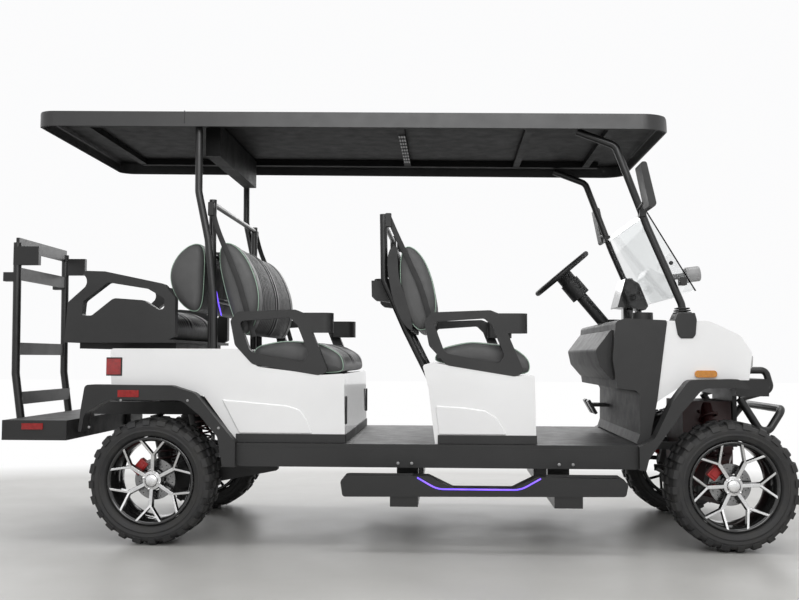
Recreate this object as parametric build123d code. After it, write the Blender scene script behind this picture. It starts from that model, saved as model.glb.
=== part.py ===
from build123d import *
import math
import os

# Six-seat lifted electric golf cart, in millimetres.
# +X points forward, +Y to the cart's left and +Z up. The wheels stand on Z = 0.
# Stations along X are measured forward from the rear axle. At the end the whole cart is
# moved so that its origin lies on the floor, under the middle of its length.

# ---- driving dimensions -------------------------------------------------------------------
WHEELBASE = 2560
REAR_OVERHANG = 828
FRONT_OVERHANG = 332
FRONT_TRACK = 1065
REAR_TRACK = 1045

TYRE_RADIUS = 281
TYRE_WIDTH = 240
RIM_FLANGE_RADIUS = 195
RIM_BARREL_RADIUS = 178
RIM_WIDTH = 196

BODY_HALF_WIDTH = 588
SILL_HALF_WIDTH = 612
SILL_BOTTOM = 350
SILL_TOP = 455
FLOOR_TOP = 452
FLOOR_THICKNESS = 18
WALL = 5
SEAT_BASE_TOP = 812

ROOF_HALF_WIDTH = 602
ROOF_REAR = -572
ROOF_FRONT = 2318
ROOF_REAR_TOP = 1958
ROOF_DROP = 40
ROOF_EDGE_HEIGHT = 68
ROOF_SKIN = 5

POST_RADIUS = 17
REAR_POST_Y = 538
SCREEN_POST_Y = 490

KINGPIN_Y = 452
STEERING_WHEEL_RADIUS = 178
STEERING_WHEEL_CENTRE = (1930, 300, 1283)
STEERING_COLUMN_TILT = 50
FIT = 0.3

REAR_AXLE_X = (REAR_OVERHANG - WHEELBASE - FRONT_OVERHANG) / 2
SIDES = {"right": -1, "left": 1}


# ---- ways of making shapes ----------------------------------------------------------------
def block(x, y, z):
    """Box between (low, high) pairs along X, Y and Z."""
    size = Box(x[1] - x[0], y[1] - y[0], z[1] - z[0])
    return Pos((x[0] + x[1]) / 2, (y[0] + y[1]) / 2, (z[0] + z[1]) / 2) * size


def outline(corners):
    """Face inside rows of (across, up, corner radius)."""
    points = [(across, up) for across, up, radius in corners]
    return make_face(FilletPolyline(*points, radius=[row[2] for row in corners], close=True))


def side_plate(corners, y):
    """Side view outline, rows of (x, z, corner radius), carried from y[0] to y[1]."""
    seat = Plane((0, y[0], 0), x_dir=(1, 0, 0), z_dir=(0, -1, 0))
    return extrude(seat * outline(corners), amount=y[1] - y[0], dir=(0, 1, 0))


def top_plate(corners, z):
    """Plan view outline, rows of (x, y, corner radius), carried from z[0] to z[1]."""
    return extrude(Pos(0, 0, z[0]) * outline(corners), amount=z[1] - z[0])


def front_plate(corners, x):
    """Front view outline, rows of (y, z, corner radius), carried from x[0] to x[1]."""
    seat = Plane((x[0], 0, 0), x_dir=(0, 1, 0), z_dir=(1, 0, 0))
    return extrude(seat * outline(corners), amount=x[1] - x[0])


def bar(points, bend, section):
    """A section swept along straight runs joined by bends."""
    path = FilletPolyline(*points, radius=bend) if len(points) > 2 else Line(*points)
    return sweep(Plane(origin=path @ 0, z_dir=path % 0) * section, path=path)


def tube(points, radius, bend=0):
    return bar(points, bend, Circle(radius))


def rod(start, end, radius):
    """Round rod between two points."""
    run = Vector(*end) - Vector(*start)
    return extrude(Plane(origin=start, z_dir=run) * Circle(radius), amount=run.length)


def pair(shape):
    """A right-hand shape and its mirror image on the left."""
    return [shape, mirror(shape, about=Plane.XZ)]


def joined(shapes):
    """Shapes fused into one."""
    result = shapes[0]
    for shape in shapes[1:]:
        result = result + shape
    return result


def roof_z(x):
    """Height of the roof's top edge, which falls towards the front."""
    return ROOF_REAR_TOP - ROOF_DROP * (x - ROOF_REAR) / (ROOF_FRONT - ROOF_REAR)


# ---- wheels -------------------------------------------------------------------------------
def turned(rows, radii=0):
    """Solid turned about the wheel's axle (Y) from rows of (radius, y, corner radius)."""
    face = Plane.XY * outline(rows)
    return revolve(face, axis=Axis.Y)


SIDEWALL_RADIUS = 240
SHOULDER_WIDTH = 218


def tyre():
    half = TYRE_WIDTH / 2
    shoulder = SHOULDER_WIDTH / 2
    return turned(
        [
            (RIM_BARREL_RADIUS, RIM_WIDTH / 2 - 12, 0),
            (RIM_FLANGE_RADIUS + 2, half - 8, 0),
            (SIDEWALL_RADIUS, half, 30),
            (TYRE_RADIUS - 8, shoulder, 0),
            (TYRE_RADIUS, shoulder - 18, 0),
            (TYRE_RADIUS, 18 - shoulder, 0),
            (TYRE_RADIUS - 8, -shoulder, 0),
            (SIDEWALL_RADIUS, -half, 30),
            (RIM_FLANGE_RADIUS + 2, 8 - half, 0),
            (RIM_BARREL_RADIUS, 12 - RIM_WIDTH / 2, 0),
        ]
    )


SPOKES = 6
SPOKE_FORK_RADIUS = 126
SPOKE_FACE_Y = -62
SPOKE_DEPTH = 26
HUB_RADIUS = 46
HUB_CAP_RADIUS = 28
HUB_MOUNT_Y = -20
BRAKE_DISC_RADIUS = 92
BRAKE_DISC_Y = 12
BARREL_WALL = 8


def spoke():
    """One Y-shaped spoke, pointing along +X, in the plane across the axle."""
    back, face = SPOKE_FACE_Y + SPOKE_DEPTH, SPOKE_FACE_Y
    stem = side_plate([(20, -13, 0), (20, 13, 0), (130, 8, 0), (130, -8, 0)], (face, back))
    tip_radius = RIM_BARREL_RADIUS - BARREL_WALL / 2
    tip_spread = math.radians(14)
    parts = [stem]
    for side in (-1, 1):
        tip_x = tip_radius * math.cos(tip_spread)
        tip_z = side * tip_radius * math.sin(tip_spread)
        run = math.hypot(tip_x - SPOKE_FORK_RADIUS, tip_z)
        along = math.degrees(math.atan2(tip_z, tip_x - SPOKE_FORK_RADIUS))
        prong = block((-6, run), (face, back), (-6, 6))
        parts.append(Pos(SPOKE_FORK_RADIUS, 0, 0) * Rot(0, -along, 0) * prong)
    return joined(parts)


def rim():
    """Rim, spokes, hub and brake disc of a right-hand wheel, whose outside faces -Y."""
    outer, inner = -RIM_WIDTH / 2, RIM_WIDTH / 2
    wall_radius = RIM_BARREL_RADIUS - BARREL_WALL
    barrel = turned(
        [
            (wall_radius, outer + 14, 0),
            (RIM_BARREL_RADIUS, outer, 0),
            (RIM_FLANGE_RADIUS, outer, 0),
            (RIM_FLANGE_RADIUS, outer + 8, 0),
            (RIM_BARREL_RADIUS, outer + 12, 0),
            (RIM_BARREL_RADIUS, inner - 12, 0),
            (RIM_FLANGE_RADIUS, inner - 8, 0),
            (RIM_FLANGE_RADIUS, inner, 0),
            (RIM_BARREL_RADIUS, inner, 0),
            (wall_radius, inner - 14, 0),
        ]
    )
    hub = turned(
        [
            (0, SPOKE_FACE_Y - 14, 0),
            (HUB_CAP_RADIUS, SPOKE_FACE_Y - 12, 0),
            (HUB_CAP_RADIUS, SPOKE_FACE_Y - 4, 0),
            (HUB_RADIUS, SPOKE_FACE_Y, 0),
            (HUB_RADIUS, HUB_MOUNT_Y, 0),
            (HUB_RADIUS - 8, BRAKE_DISC_Y - 3, 0),
            (BRAKE_DISC_RADIUS, BRAKE_DISC_Y - 3, 0),
            (BRAKE_DISC_RADIUS, BRAKE_DISC_Y + 3, 0),
            (0, BRAKE_DISC_Y + 3, 0),
        ]
    )
    shapes = [barrel, hub]
    for index in range(SPOKES):
        shapes.append(Rot(0, index * 360 / SPOKES, 0) * spoke())
    return joined(shapes)


AXLES = {
    # axle: (station, half track)
    "front": (WHEELBASE, FRONT_TRACK / 2),
    "rear": (0, REAR_TRACK / 2),
}


def wheels():
    shapes = {}
    for axle, (station, half_track) in AXLES.items():
        for side, sign in SIDES.items():
            place = Pos(station, sign * half_track, TYRE_RADIUS)
            turn = Rot(0, 0, 180) if sign > 0 else Rot(0, 0, 0)
            shapes[f"{axle}_tyre_{side}"] = place * turn * tyre()
            shapes[f"{axle}_rim_{side}"] = place * turn * rim()
    return shapes


# ---- axles and steering gear --------------------------------------------------------------
SPINDLE_RADIUS = 16
BALL_JOINT_RISE = 88
ARM_INNER_Y = 190
ARM_THICKNESS = 22
STEERING_ARM = 110
STEERING_ARM_Z = TYRE_RADIUS - 34
RACK_RADIUS = 9
RACK_Z = STEERING_ARM_Z - FIT - RACK_RADIUS
SHOCK_RADIUS = 30
SHOCK_TOP_Y = 150
SHOCK_TOP_Z = 610
SUBFRAME_BOTTOM = TYRE_RADIUS - BALL_JOINT_RISE - ARM_THICKNESS / 2

AXLE_TUBE_RADIUS = 34
FINAL_DRIVE_RADIUS = 92
MOTOR_RADIUS = 95
TRAILING_ARM_LENGTH = 520
TRAILING_ARM_Y = 300
SPRING_Y = 330
SPRING_TOP = 560


def knuckle(half_track):
    """Right-hand steering knuckle, with its spindle, steering arm and brake caliper."""
    pin_y = -KINGPIN_Y
    centre = TYRE_RADIUS
    reach = BALL_JOINT_RISE - ARM_THICKNESS / 2 - FIT
    disc_back = -half_track + BRAKE_DISC_Y + 3
    upright = side_plate(
        [
            (WHEELBASE - 14, centre - reach, 6),
            (WHEELBASE + 14, centre - reach, 6),
            (WHEELBASE + 24, centre, 12),
            (WHEELBASE + 14, centre + reach, 6),
            (WHEELBASE - 14, centre + reach, 6),
            (WHEELBASE - 24, centre, 12),
        ],
        (pin_y - 20, pin_y + 14),
    )
    boss = rod((WHEELBASE, pin_y - 10, centre), (WHEELBASE, disc_back + FIT, centre), SPINDLE_RADIUS * 2)
    caliper = side_plate(
        [
            (WHEELBASE - 96, centre - 10, 8),
            (WHEELBASE - 52, centre - 10, 8),
            (WHEELBASE - 44, centre + 66, 8),
            (WHEELBASE - 78, centre + 66, 8),
        ],
        (disc_back + FIT + 1, pin_y - 8),
    )
    bracket = block((WHEELBASE - 60, WHEELBASE), (pin_y - 20, pin_y - 6), (centre - 8, centre + 20))
    arm = top_plate(
        [
            (WHEELBASE, pin_y - 16, 0),
            (WHEELBASE, pin_y + 14, 0),
            (WHEELBASE - STEERING_ARM - 14, pin_y + 12, 10),
            (WHEELBASE - STEERING_ARM - 14, pin_y - 12, 10),
        ],
        (STEERING_ARM_Z, STEERING_ARM_Z + 16),
    )
    return joined([upright, boss, caliper, bracket, arm])


def wishbone(z):
    """One right-hand A-arm, whose apex carries a ball joint."""
    outer = top_plate(
        [
            (WHEELBASE - 20, -KINGPIN_Y - 18, 10),
            (WHEELBASE + 20, -KINGPIN_Y - 18, 10),
            (WHEELBASE + 110, -ARM_INNER_Y, 0),
            (WHEELBASE - 110, -ARM_INNER_Y, 0),
        ],
        (z - ARM_THICKNESS / 2, z + ARM_THICKNESS / 2),
    )
    window = top_plate(
        [
            (WHEELBASE - 8, -KINGPIN_Y + 70, 4),
            (WHEELBASE + 8, -KINGPIN_Y + 70, 4),
            (WHEELBASE + 76, -ARM_INNER_Y - 26, 4),
            (WHEELBASE - 76, -ARM_INNER_Y - 26, 4),
        ],
        (z - ARM_THICKNESS, z + ARM_THICKNESS),
    )
    return outer - window


def front_suspension():
    """Double wishbones, coil-over shock absorbers, subframe and rack housing."""
    shapes = []
    for level in (-1, 1):
        shapes.extend(pair(wishbone(TYRE_RADIUS + level * BALL_JOINT_RISE)))
    upper = TYRE_RADIUS + BALL_JOINT_RISE
    eye = (WHEELBASE, -ARM_INNER_Y - 90, upper + ARM_THICKNESS / 2 - 2)
    top = (WHEELBASE, -SHOCK_TOP_Y, SHOCK_TOP_Z)
    middle = tuple((a + b) / 2 for a, b in zip(eye, top))
    shapes.extend(pair(rod(eye, middle, 16) + rod(middle, top, SHOCK_RADIUS)))
    tower = front_plate(
        [
            (-ARM_INNER_Y, SUBFRAME_BOTTOM, 0),
            (ARM_INNER_Y, SUBFRAME_BOTTOM, 0),
            (ARM_INNER_Y, upper + 20, 0),
            (SHOCK_TOP_Y + 20, SHOCK_TOP_Z + 20, 0),
            (-SHOCK_TOP_Y - 20, SHOCK_TOP_Z + 20, 0),
            (-ARM_INNER_Y, upper + 20, 0),
        ],
        (WHEELBASE - 115, WHEELBASE + 115),
    )
    cavity = block(
        (WHEELBASE - 107, WHEELBASE + 107),
        (8 - ARM_INNER_Y, ARM_INNER_Y - 8),
        (SUBFRAME_BOTTOM - 1, upper + 10),
    )
    rack_bore = rod(
        (WHEELBASE - STEERING_ARM, -ARM_INNER_Y - 30, RACK_Z),
        (WHEELBASE - STEERING_ARM, ARM_INNER_Y + 30, RACK_Z),
        RACK_RADIUS + FIT,
    )
    shapes.append(tower - cavity)
    return [joined(shapes) - rack_bore]


def tie_rods():
    """Steering rack and its tie rods, which slide together across the cart."""
    x = WHEELBASE - STEERING_ARM
    bar_shape = rod((x, -KINGPIN_Y, RACK_Z), (x, KINGPIN_Y, RACK_Z), RACK_RADIUS)
    eyes = pair(rod((x, -KINGPIN_Y, RACK_Z - 8), (x, -KINGPIN_Y, RACK_Z + RACK_RADIUS), 13))
    return joined([bar_shape] + eyes)


def rear_axle():
    """Axle tubes, final drive, motor, trailing arms, springs and brake calipers."""
    end = REAR_TRACK / 2 - BRAKE_DISC_Y - 3 - FIT
    centre = TYRE_RADIUS
    tube_shape = rod((0, -end, centre), (0, end, centre), AXLE_TUBE_RADIUS)
    drive = Pos(0, 40, centre) * Sphere(FINAL_DRIVE_RADIUS)
    motor = rod((0, 110, centre + 20), (0, 330, centre + 20), MOTOR_RADIUS)
    shapes = [tube_shape, drive, motor]
    calipers = side_plate(
        [(30, centre - 10, 6), (84, centre - 10, 6), (70, centre + 62, 6), (26, centre + 62, 6)],
        (-end + 1, -end + 44),
    )
    carrier = block((0, 60), (-end + 10, -end + 26), (centre - 8, centre + 20))
    arm = side_plate(
        [
            (-40, centre - 44, 10),
            (60, centre - 70, 20),
            (TRAILING_ARM_LENGTH, SILL_BOTTOM - 50, 10),
            (TRAILING_ARM_LENGTH, SILL_BOTTOM - 4, 10),
            (60, centre + 10, 20),
            (-40, centre + 30, 10),
        ],
        (-TRAILING_ARM_Y - 22, -TRAILING_ARM_Y + 22),
    )
    spring = rod((0, -SPRING_Y, centre), (-60, -SPRING_Y, SPRING_TOP), SHOCK_RADIUS)
    for shape in (calipers, carrier, arm, spring):
        shapes.extend(pair(shape))
    return joined(shapes)


# ---- chassis, floor and sills -------------------------------------------------------------
RAIL_Y = 300
RAIL_WIDTH = 50
RAIL_BOTTOM = 370
RAIL_TOP = FLOOR_TOP - FLOOR_THICKNESS
RAIL_FRONT = 2200
REAR_RAIL_Z = 560
NOSE_RAIL_Y = 165
NOSE_RAIL_FRONT = 2680
CROSS_MEMBERS = (420, 900, 1400, 1900, 2175)
REAR_CROSS_MEMBERS = (-400, -120)
OUTRIGGER_Y = SILL_HALF_WIDTH - 32


def chassis_frame():
    """Side rails that kick up over the rear axle, and the narrower rails of the nose."""
    half = RAIL_WIDTH / 2
    rail = side_plate(
        [
            (RAIL_FRONT, RAIL_BOTTOM, 0),
            (RAIL_FRONT, RAIL_TOP, 0),
            (330, RAIL_TOP, 30),
            (200, REAR_RAIL_Z + 60, 30),
            (-420, REAR_RAIL_Z + 60, 0),
            (-420, REAR_RAIL_Z, 0),
            (160, REAR_RAIL_Z, 30),
            (290, RAIL_BOTTOM, 30),
        ],
        (-RAIL_Y - half, -RAIL_Y + half),
    )
    nose = block(
        (RAIL_FRONT, NOSE_RAIL_FRONT),
        (-NOSE_RAIL_Y - 20, -NOSE_RAIL_Y + 20),
        (RAIL_BOTTOM + 30, RAIL_TOP),
    )
    return pair(rail) + pair(nose)


def cross_members():
    """Members between the rails, and the outriggers beside them that carry the sills."""
    inner = RAIL_Y - RAIL_WIDTH / 2
    outer = RAIL_Y + RAIL_WIDTH / 2
    z = (RAIL_BOTTOM + 10, RAIL_TOP)
    shapes = []
    for x in CROSS_MEMBERS:
        span = (x - 25, x + 25)
        shapes.append(block(span, (-inner, inner), z))
        shapes.extend(pair(block(span, (-OUTRIGGER_Y, -outer), z)))
    for x in REAR_CROSS_MEMBERS:
        shapes.append(block((x - 20, x + 20), (-inner, inner), (REAR_RAIL_Z + 5, REAR_RAIL_Z + 55)))
    nose = NOSE_RAIL_Y - 20
    shapes.append(block((NOSE_RAIL_FRONT - 40, NOSE_RAIL_FRONT), (-nose, nose), (RAIL_BOTTOM + 30, RAIL_TOP)))
    return shapes


FLOOR_REAR = 386
FLOOR_FRONT = 2190


def floor_deck():
    return block((FLOOR_REAR, FLOOR_FRONT), (2 - SILL_HALF_WIDTH, SILL_HALF_WIDTH - 2), (RAIL_TOP, FLOOR_TOP))


def sills():
    """Moulded side skirts with a turned lip under the floor's edge."""
    y = (-SILL_HALF_WIDTH, 32 - SILL_HALF_WIDTH)
    skin = side_plate(
        [
            (FLOOR_REAR, SILL_TOP - 40, 0),
            (FLOOR_REAR, SILL_BOTTOM + 8, 0),
            (FLOOR_REAR + 20, SILL_BOTTOM, 10),
            (FLOOR_FRONT - 40, SILL_BOTTOM, 10),
            (FLOOR_FRONT - 40, RAIL_TOP, 0),
            (FLOOR_REAR, RAIL_TOP, 0),
        ],
        y,
    )
    hollow = block(
        (FLOOR_REAR + 6, FLOOR_FRONT - 46), (WALL - SILL_HALF_WIDTH, 40 - SILL_HALF_WIDTH), (SILL_BOTTOM + 6, RAIL_TOP - 6)
    )
    return pair(skin - hollow)


STEP_REAR = 862
STEP_FRONT = 2085
STEP_OUTER_Y = 735
STEP_INNER_Y = 640
STEP_TOP = 328
STEP_THICKNESS = 70
STEP_DIP = 50
STEP_BRACKETS = (1135, 1835)


def side_steps():
    """Running boards, dropped in the middle, on two brackets from the frame each."""
    top, dip, low = STEP_TOP, STEP_TOP - STEP_DIP, STEP_TOP - STEP_THICKNESS - 20
    board = side_plate(
        [
            (STEP_REAR, top - 25, 20),
            (STEP_REAR + 20, top, 10),
            (1240, top, 10),
            (1345, dip, 10),
            (1600, dip, 10),
            (1700, top, 10),
            (STEP_FRONT - 20, top - 5, 10),
            (STEP_FRONT, top - 30, 20),
            (STEP_FRONT - 10, low + 10, 15),
            (STEP_REAR + 10, low, 15),
        ],
        (-STEP_OUTER_Y, -STEP_INNER_Y),
    )
    shapes = [board]
    for x in STEP_BRACKETS:
        shapes.append(block((x - 60, x + 60), (-STEP_OUTER_Y + 12, -RAIL_Y), (low - 42, low + 18)))
        shapes.append(block((x - 50, x + 50), (-RAIL_Y - 40, -RAIL_Y + 20), (low - 6, RAIL_BOTTOM + 20)))
    return pair(joined(shapes))


# ---- body panels --------------------------------------------------------------------------
def shell(corners, inner, y):
    """Side view outline across the body, hollowed by a second outline, open below."""
    solid = side_plate(corners, (-y, y))
    return solid - side_plate(inner, (WALL - y, y - WALL))


def front_seat_pod():
    """White seat base of the front row: an open-bottomed shell standing on the floor."""
    base = FLOOR_TOP
    return shell(
        [
            (1266, base, 0),
            (1236, 700, 60),
            (1210, 800, 12),
            (1252, SEAT_BASE_TOP, 10),
            (1617, 752, 30),
            (1706, 757, 10),
            (1712, base, 0),
        ],
        [
            (1272, base - 1, 0),
            (1242, 700, 60),
            (1220, 792, 8),
            (1254, SEAT_BASE_TOP - WALL - 1, 5),
            (1617, 752 - WALL, 30),
            (1700, 751, 5),
            (1706, base - 1, 0),
        ],
        BODY_HALF_WIDTH,
    )


ARCH_INNER_Y = 385
REAR_DECK_Z = 870


def rear_body():
    """White rear tub under the second and third rows, cut away for the wheels."""
    tub = shell(
        [
            (-190, 660, 0),
            (-200, REAR_DECK_Z, 16),
            (386, REAR_DECK_Z, 20),
            (470, 790, 40),
            (762, 755, 20),
            (860, 761, 10),
            (866, FLOOR_TOP, 0),
            (386, FLOOR_TOP, 0),
            (230, 660, 0),
        ],
        [
            (WALL - 190, 659, 0),
            (WALL - 200, REAR_DECK_Z - WALL, 12),
            (380, REAR_DECK_Z - WALL, 16),
            (464, 784, 40),
            (762, 750, 16),
            (854, 756, 6),
            (860, FLOOR_TOP - 1, 0),
            (390, FLOOR_TOP - 1, 0),
            (226, 659, 0),
        ],
        BODY_HALF_WIDTH,
    )
    return tub


def front_cowl():
    """White nose: sides and bonnet over the front wheels, open below and behind."""
    y = BODY_HALF_WIDTH - 20
    skin = shell(
        [
            (2292, 1000, 10),
            (2477, 1000, 120),
            (2610, 935, 60),
            (2660, 860, 20),
            (2644, 739, 0),
            (2390, 739, 0),
            (2244, 643, 0),
        ],
        [
            (2250, 995, 0),
            (2477, 995, 120),
            (2604, 931, 60),
            (2654, 860, 16),
            (2640, 738, 0),
            (2392, 735, 0),
            (2200, 600, 0),
        ],
        y,
    )
    return skin


FENDER_OUTER_Y = 648
FENDER_INNER_Y = 560
FENDER_SKIN = 8


def front_fenders():
    """Black wheel arch flares with an inner liner over the front tyres."""
    flare = side_plate(
        [
            (2150, SILL_BOTTOM, 0),
            (2150, SILL_TOP - 4, 0),
            (2215, SILL_TOP + 30, 30),
            (2290, 639, 30),
            (2365, 740, 40),
            (2575, 745, 40),
            (2650, 698, 10),
            (2560, 706, 20),
            (2425, 704, 50),
            (2330, 596, 20),
            (2190, 397, 10),
            (2178, SILL_BOTTOM, 0),
        ],
        (-FENDER_OUTER_Y, -FENDER_INNER_Y),
    )
    return pair(flare)


def rear_fenders():
    """Black wheel arch flares over the rear tyres, running down into the sills."""
    flare = side_plate(
        [
            (-318, 500, 2),
            (-308, 606, 20),
            (-292, 708, 20),
            (97, 706, 50),
            (205, 672, 40),
            (300, 560, 20),
            (FLOOR_REAR, SILL_TOP + 4, 0),
            (FLOOR_REAR, SILL_BOTTOM, 0),
            (330, SILL_BOTTOM, 0),
            (306, 482, 20),
            (226, 575, 40),
            (145, 640, 60),
            (-190, 642, 80),
            (-292, 580, 40),
            (-304, 500, 2),
        ],
        (-FENDER_OUTER_Y, -FENDER_INNER_Y),
    )
    return pair(flare)


DASH_TOP = 1010


def dashboard():
    """Black moulded dash: console across the cart, side panels and footwell walls."""
    y = BODY_HALF_WIDTH - 14
    panel = side_plate(
        [
            (2070, 700, 0),
            (2050, 830, 20),
            (2066, DASH_TOP - 12, 20),
            (2110, DASH_TOP, 10),
            (2288, DASH_TOP - 8, 6),
            (2242, 640, 0),
            (2206, SILL_TOP + 4, 0),
            (2152, SILL_TOP + 4, 0),
            (2166, 500, 0),
            (2168, 690, 30),
        ],
        (-y, y),
    )
    hollow = side_plate(
        [(2172, 300, 0), (2176, 700, 0), (2090, 830, 0), (2100, DASH_TOP - 30, 0), (2300, DASH_TOP - 30, 0), (2300, 300, 0)],
        (WALL - y, y - WALL),
    )
    centre = side_plate(
        [(2000, 800, 20), (1985, 870, 20), (2068, 980, 10), (2068, 720, 10)],
        (-y + 60, y - 60),
    )
    return (panel - hollow) + centre


# ---- seats --------------------------------------------------------------------------------
CUSHION_HALF_WIDTH = 520
CUSHION_GAP = 0.3


def front_cushion():
    g = CUSHION_GAP
    return side_plate(
        [
            (1252, SEAT_BASE_TOP + g, 10),
            (1290, 880, 30),
            (1430, 912, 60),
            (1615, 892, 50),
            (1700, 830, 40),
            (1700, 756.7 + g, 10),
            (1617, 752 + g, 30),
        ],
        (-CUSHION_HALF_WIDTH, CUSHION_HALF_WIDTH),
    )


def middle_cushion():
    g = CUSHION_GAP
    return side_plate(
        [
            (425, 833.4, 5),
            (450, 890, 20),
            (582, 915, 60),
            (740, 905, 60),
            (845, 850, 40),
            (858, 761 + g, 10),
            (762, 755 + g, 20),
            (470, 790 + g, 40),
        ],
        (-CUSHION_HALF_WIDTH, CUSHION_HALF_WIDTH),
    )


TRAY_TOP = 905


def rear_cushion():
    return side_plate(
        [
            (-380, TRAY_TOP + CUSHION_GAP + 6, 10),
            (-345, 1040, 50),
            (-190, 1086, 80),
            (-60, 1070, 40),
            (20, 1020, 30),
            (20, TRAY_TOP + CUSHION_GAP + 6, 10),
        ],
        (-455, 455),
    )


def front_back():
    """Front row backrest pad, curved and leaning back."""
    return side_plate(
        [
            (1100, 1335, 20),
            (1140, 1352, 20),
            (1226, 1270, 80),
            (1278, 1094, 60),
            (1262, 990, 40),
            (1196, 945, 20),
            (1150, 980, 40),
            (1096, 1150, 120),
        ],
        (-CUSHION_HALF_WIDTH, CUSHION_HALF_WIDTH),
    )


def back_shell():
    """Moulded shell behind the front row, with its grab handle and two cup holders."""
    shell_shape = side_plate(
        [
            (1092, 1345, 10),
            (1064, 1335, 10),
            (1046, 1280, 40),
            (1064, 1150, 200),
            (1100, 1030, 60),
            (1150, 955, 20),
            (1180, 940, 5),
            (1149.2, 975, 20),
            (1095.4, 1150, 120),
        ],
        (-CUSHION_HALF_WIDTH + 6, CUSHION_HALF_WIDTH - 6),
    )
    shapes = [shell_shape]
    for y in (-260, 260):
        cup = Pos(1005, y, 1140) * (Cylinder(46, 100) - Pos(0, 0, 4) * Cylinder(41, 100))
        shapes.append(cup)
        shapes.append(block((1046, 1078), (y - 30, y + 30), (1120, 1180)))
        shapes.append(tube([(1062, y - 60, 1270), (1000, y - 60, 1262), (1000, y + 60, 1262), (1062, y + 60, 1270)], 9, 20))
    return joined(shapes)


def middle_back():
    return side_plate(
        [
            (262, 1355, 20),
            (310, 1370, 25),
            (400, 1295, 80),
            (466, 1130, 60),
            (445, 1000, 40),
            (400, 925, 20),
            (375, 930, 10),
            (310, 1100, 100),
            (270, 1250, 100),
        ],
        (-CUSHION_HALF_WIDTH, CUSHION_HALF_WIDTH),
    )


def rear_back():
    return side_plate(
        [
            (196, 1370, 10),
            (120, 1368, 50),
            (40, 1290, 60),
            (14, 1210, 60),
            (60, 1100, 40),
            (140, 1035, 20),
            (185, 1045, 10),
        ],
        (-460, 460),
    )


ARMREST_Y = 590
ARMREST_DEPTH = 45
ARMREST_ROWS = {
    # node: (station of the rear leg, height of the top)
    "front_armrests": (1221, 1035),
    "middle_armrests": (349, 1037),
}
CUP_RADIUS = 43
CUP_DEPTH = 88
CUP_FLOOR = 6
CUP_HOLDER_LENGTH = 134
CUP_HOLDER_WIDTH = 104


def armrests(station, top):
    """Looped armrests with a cup holder ahead of each."""
    x, z = station, top
    outer = side_plate(
        [
            (x - 4, z - 40, 20),
            (x + 30, z, 15),
            (x + 290, z + 10, 30),
            (x + 330, z - 6, 0),
            (x + 362, z - 80, 10),
            (x + 440, z - 268, 20),
            (x + 396, z - 284, 20),
            (x + 98, z - 236, 40),
            (x + 18, z - 150, 30),
        ],
        (-ARMREST_Y, ARMREST_DEPTH - ARMREST_Y),
    )
    window = side_plate(
        [
            (x + 36, z - 42, 15),
            (x + 265, z - 26, 20),
            (x + 300, z - 60, 20),
            (x + 352, z - 190, 20),
            (x + 330, z - 226, 20),
            (x + 88, z - 182, 40),
        ],
        (-ARMREST_Y - 5, ARMREST_DEPTH - ARMREST_Y + 5),
    )
    y = CUP_HOLDER_WIDTH / 2 - ARMREST_Y
    cup_rear = x + 322
    cup_top = z - 4
    holder = top_plate(
        [
            (cup_rear, y - CUP_HOLDER_WIDTH / 2, 15),
            (cup_rear + CUP_HOLDER_LENGTH, y - CUP_HOLDER_WIDTH / 2, 40),
            (cup_rear + CUP_HOLDER_LENGTH, y + CUP_HOLDER_WIDTH / 2, 40),
            (cup_rear, y + CUP_HOLDER_WIDTH / 2, 15),
        ],
        (cup_top - CUP_DEPTH, cup_top),
    )
    cup_x = cup_rear + CUP_HOLDER_LENGTH - CUP_HOLDER_WIDTH / 2
    bore = rod((cup_x, y, cup_top - CUP_DEPTH + CUP_FLOOR), (cup_x, y, cup_top + 1), CUP_RADIUS)
    return pair(outer - window + holder - bore)


REAR_ARM_Y = 560


def rear_seat_tray():
    """Moulded tray of the rear-facing seat with its two side arms."""
    tray = block((-425, 82), (-REAR_ARM_Y, REAR_ARM_Y), (TRAY_TOP - 8, TRAY_TOP + 6))
    arm = side_plate(
        [
            (-425, TRAY_TOP - 8, 8),
            (-412, 1080, 30),
            (-300, 1180, 40),
            (-370, 1226, 12),
            (-242, 1222, 30),
            (32, 1165, 30),
            (85, 1100, 30),
            (85, 925, 10),
            (32, TRAY_TOP - 8, 8),
        ],
        (-REAR_ARM_Y, 50 - REAR_ARM_Y),
    )
    window = side_plate(
        [
            (-346, 1020, 10),
            (-340, 1085, 20),
            (-227, 1172, 20),
            (-44, 1143, 20),
            (35, 1098, 15),
            (35, 1030, 20),
            (-60, 1090, 40),
            (-200, 1100, 40),
            (-300, 1020, 20),
        ],
        (-REAR_ARM_Y - 5, 55 - REAR_ARM_Y),
    )
    base = block((-393, 62), (-450, 450), (REAR_DECK_Z + 0, TRAY_TOP - 8))
    return joined([tray, base] + pair(arm - window))


def seat_frame(points, y_offset, rungs):
    """Tubular hoop that carries a backrest and its belts."""
    leg = tube(points, POST_RADIUS, 60)
    shapes = pair(Pos(0, y_offset, 0) * leg)
    for x, z in rungs:
        shapes.append(rod((x, -abs(y_offset), z), (x, abs(y_offset), z), 12))
    return joined(shapes)


def front_seat_frame():
    """Posts from the pod up behind the front backrest, joined by two rungs."""
    leg = [(1240, 0, 740), (1130, 0, 960), (1028, 0, 1190), (1022, 0, 1500)]
    return seat_frame(leg, -420, [(1022, 1470), (1026, 1250)])


def rear_seat_frame():
    """Cage between the second and third rows, which also carries the belts."""
    cage = seat_frame([(236, 0, REAR_DECK_Z), (236, 0, 1560)], -490, [(236, 1100), (236, 1300), (236, 1540)])
    bracket = block((195.2, 263.7), (-360, -300), (1270, 1330))
    return joined([cage] + pair(bracket))


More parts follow.
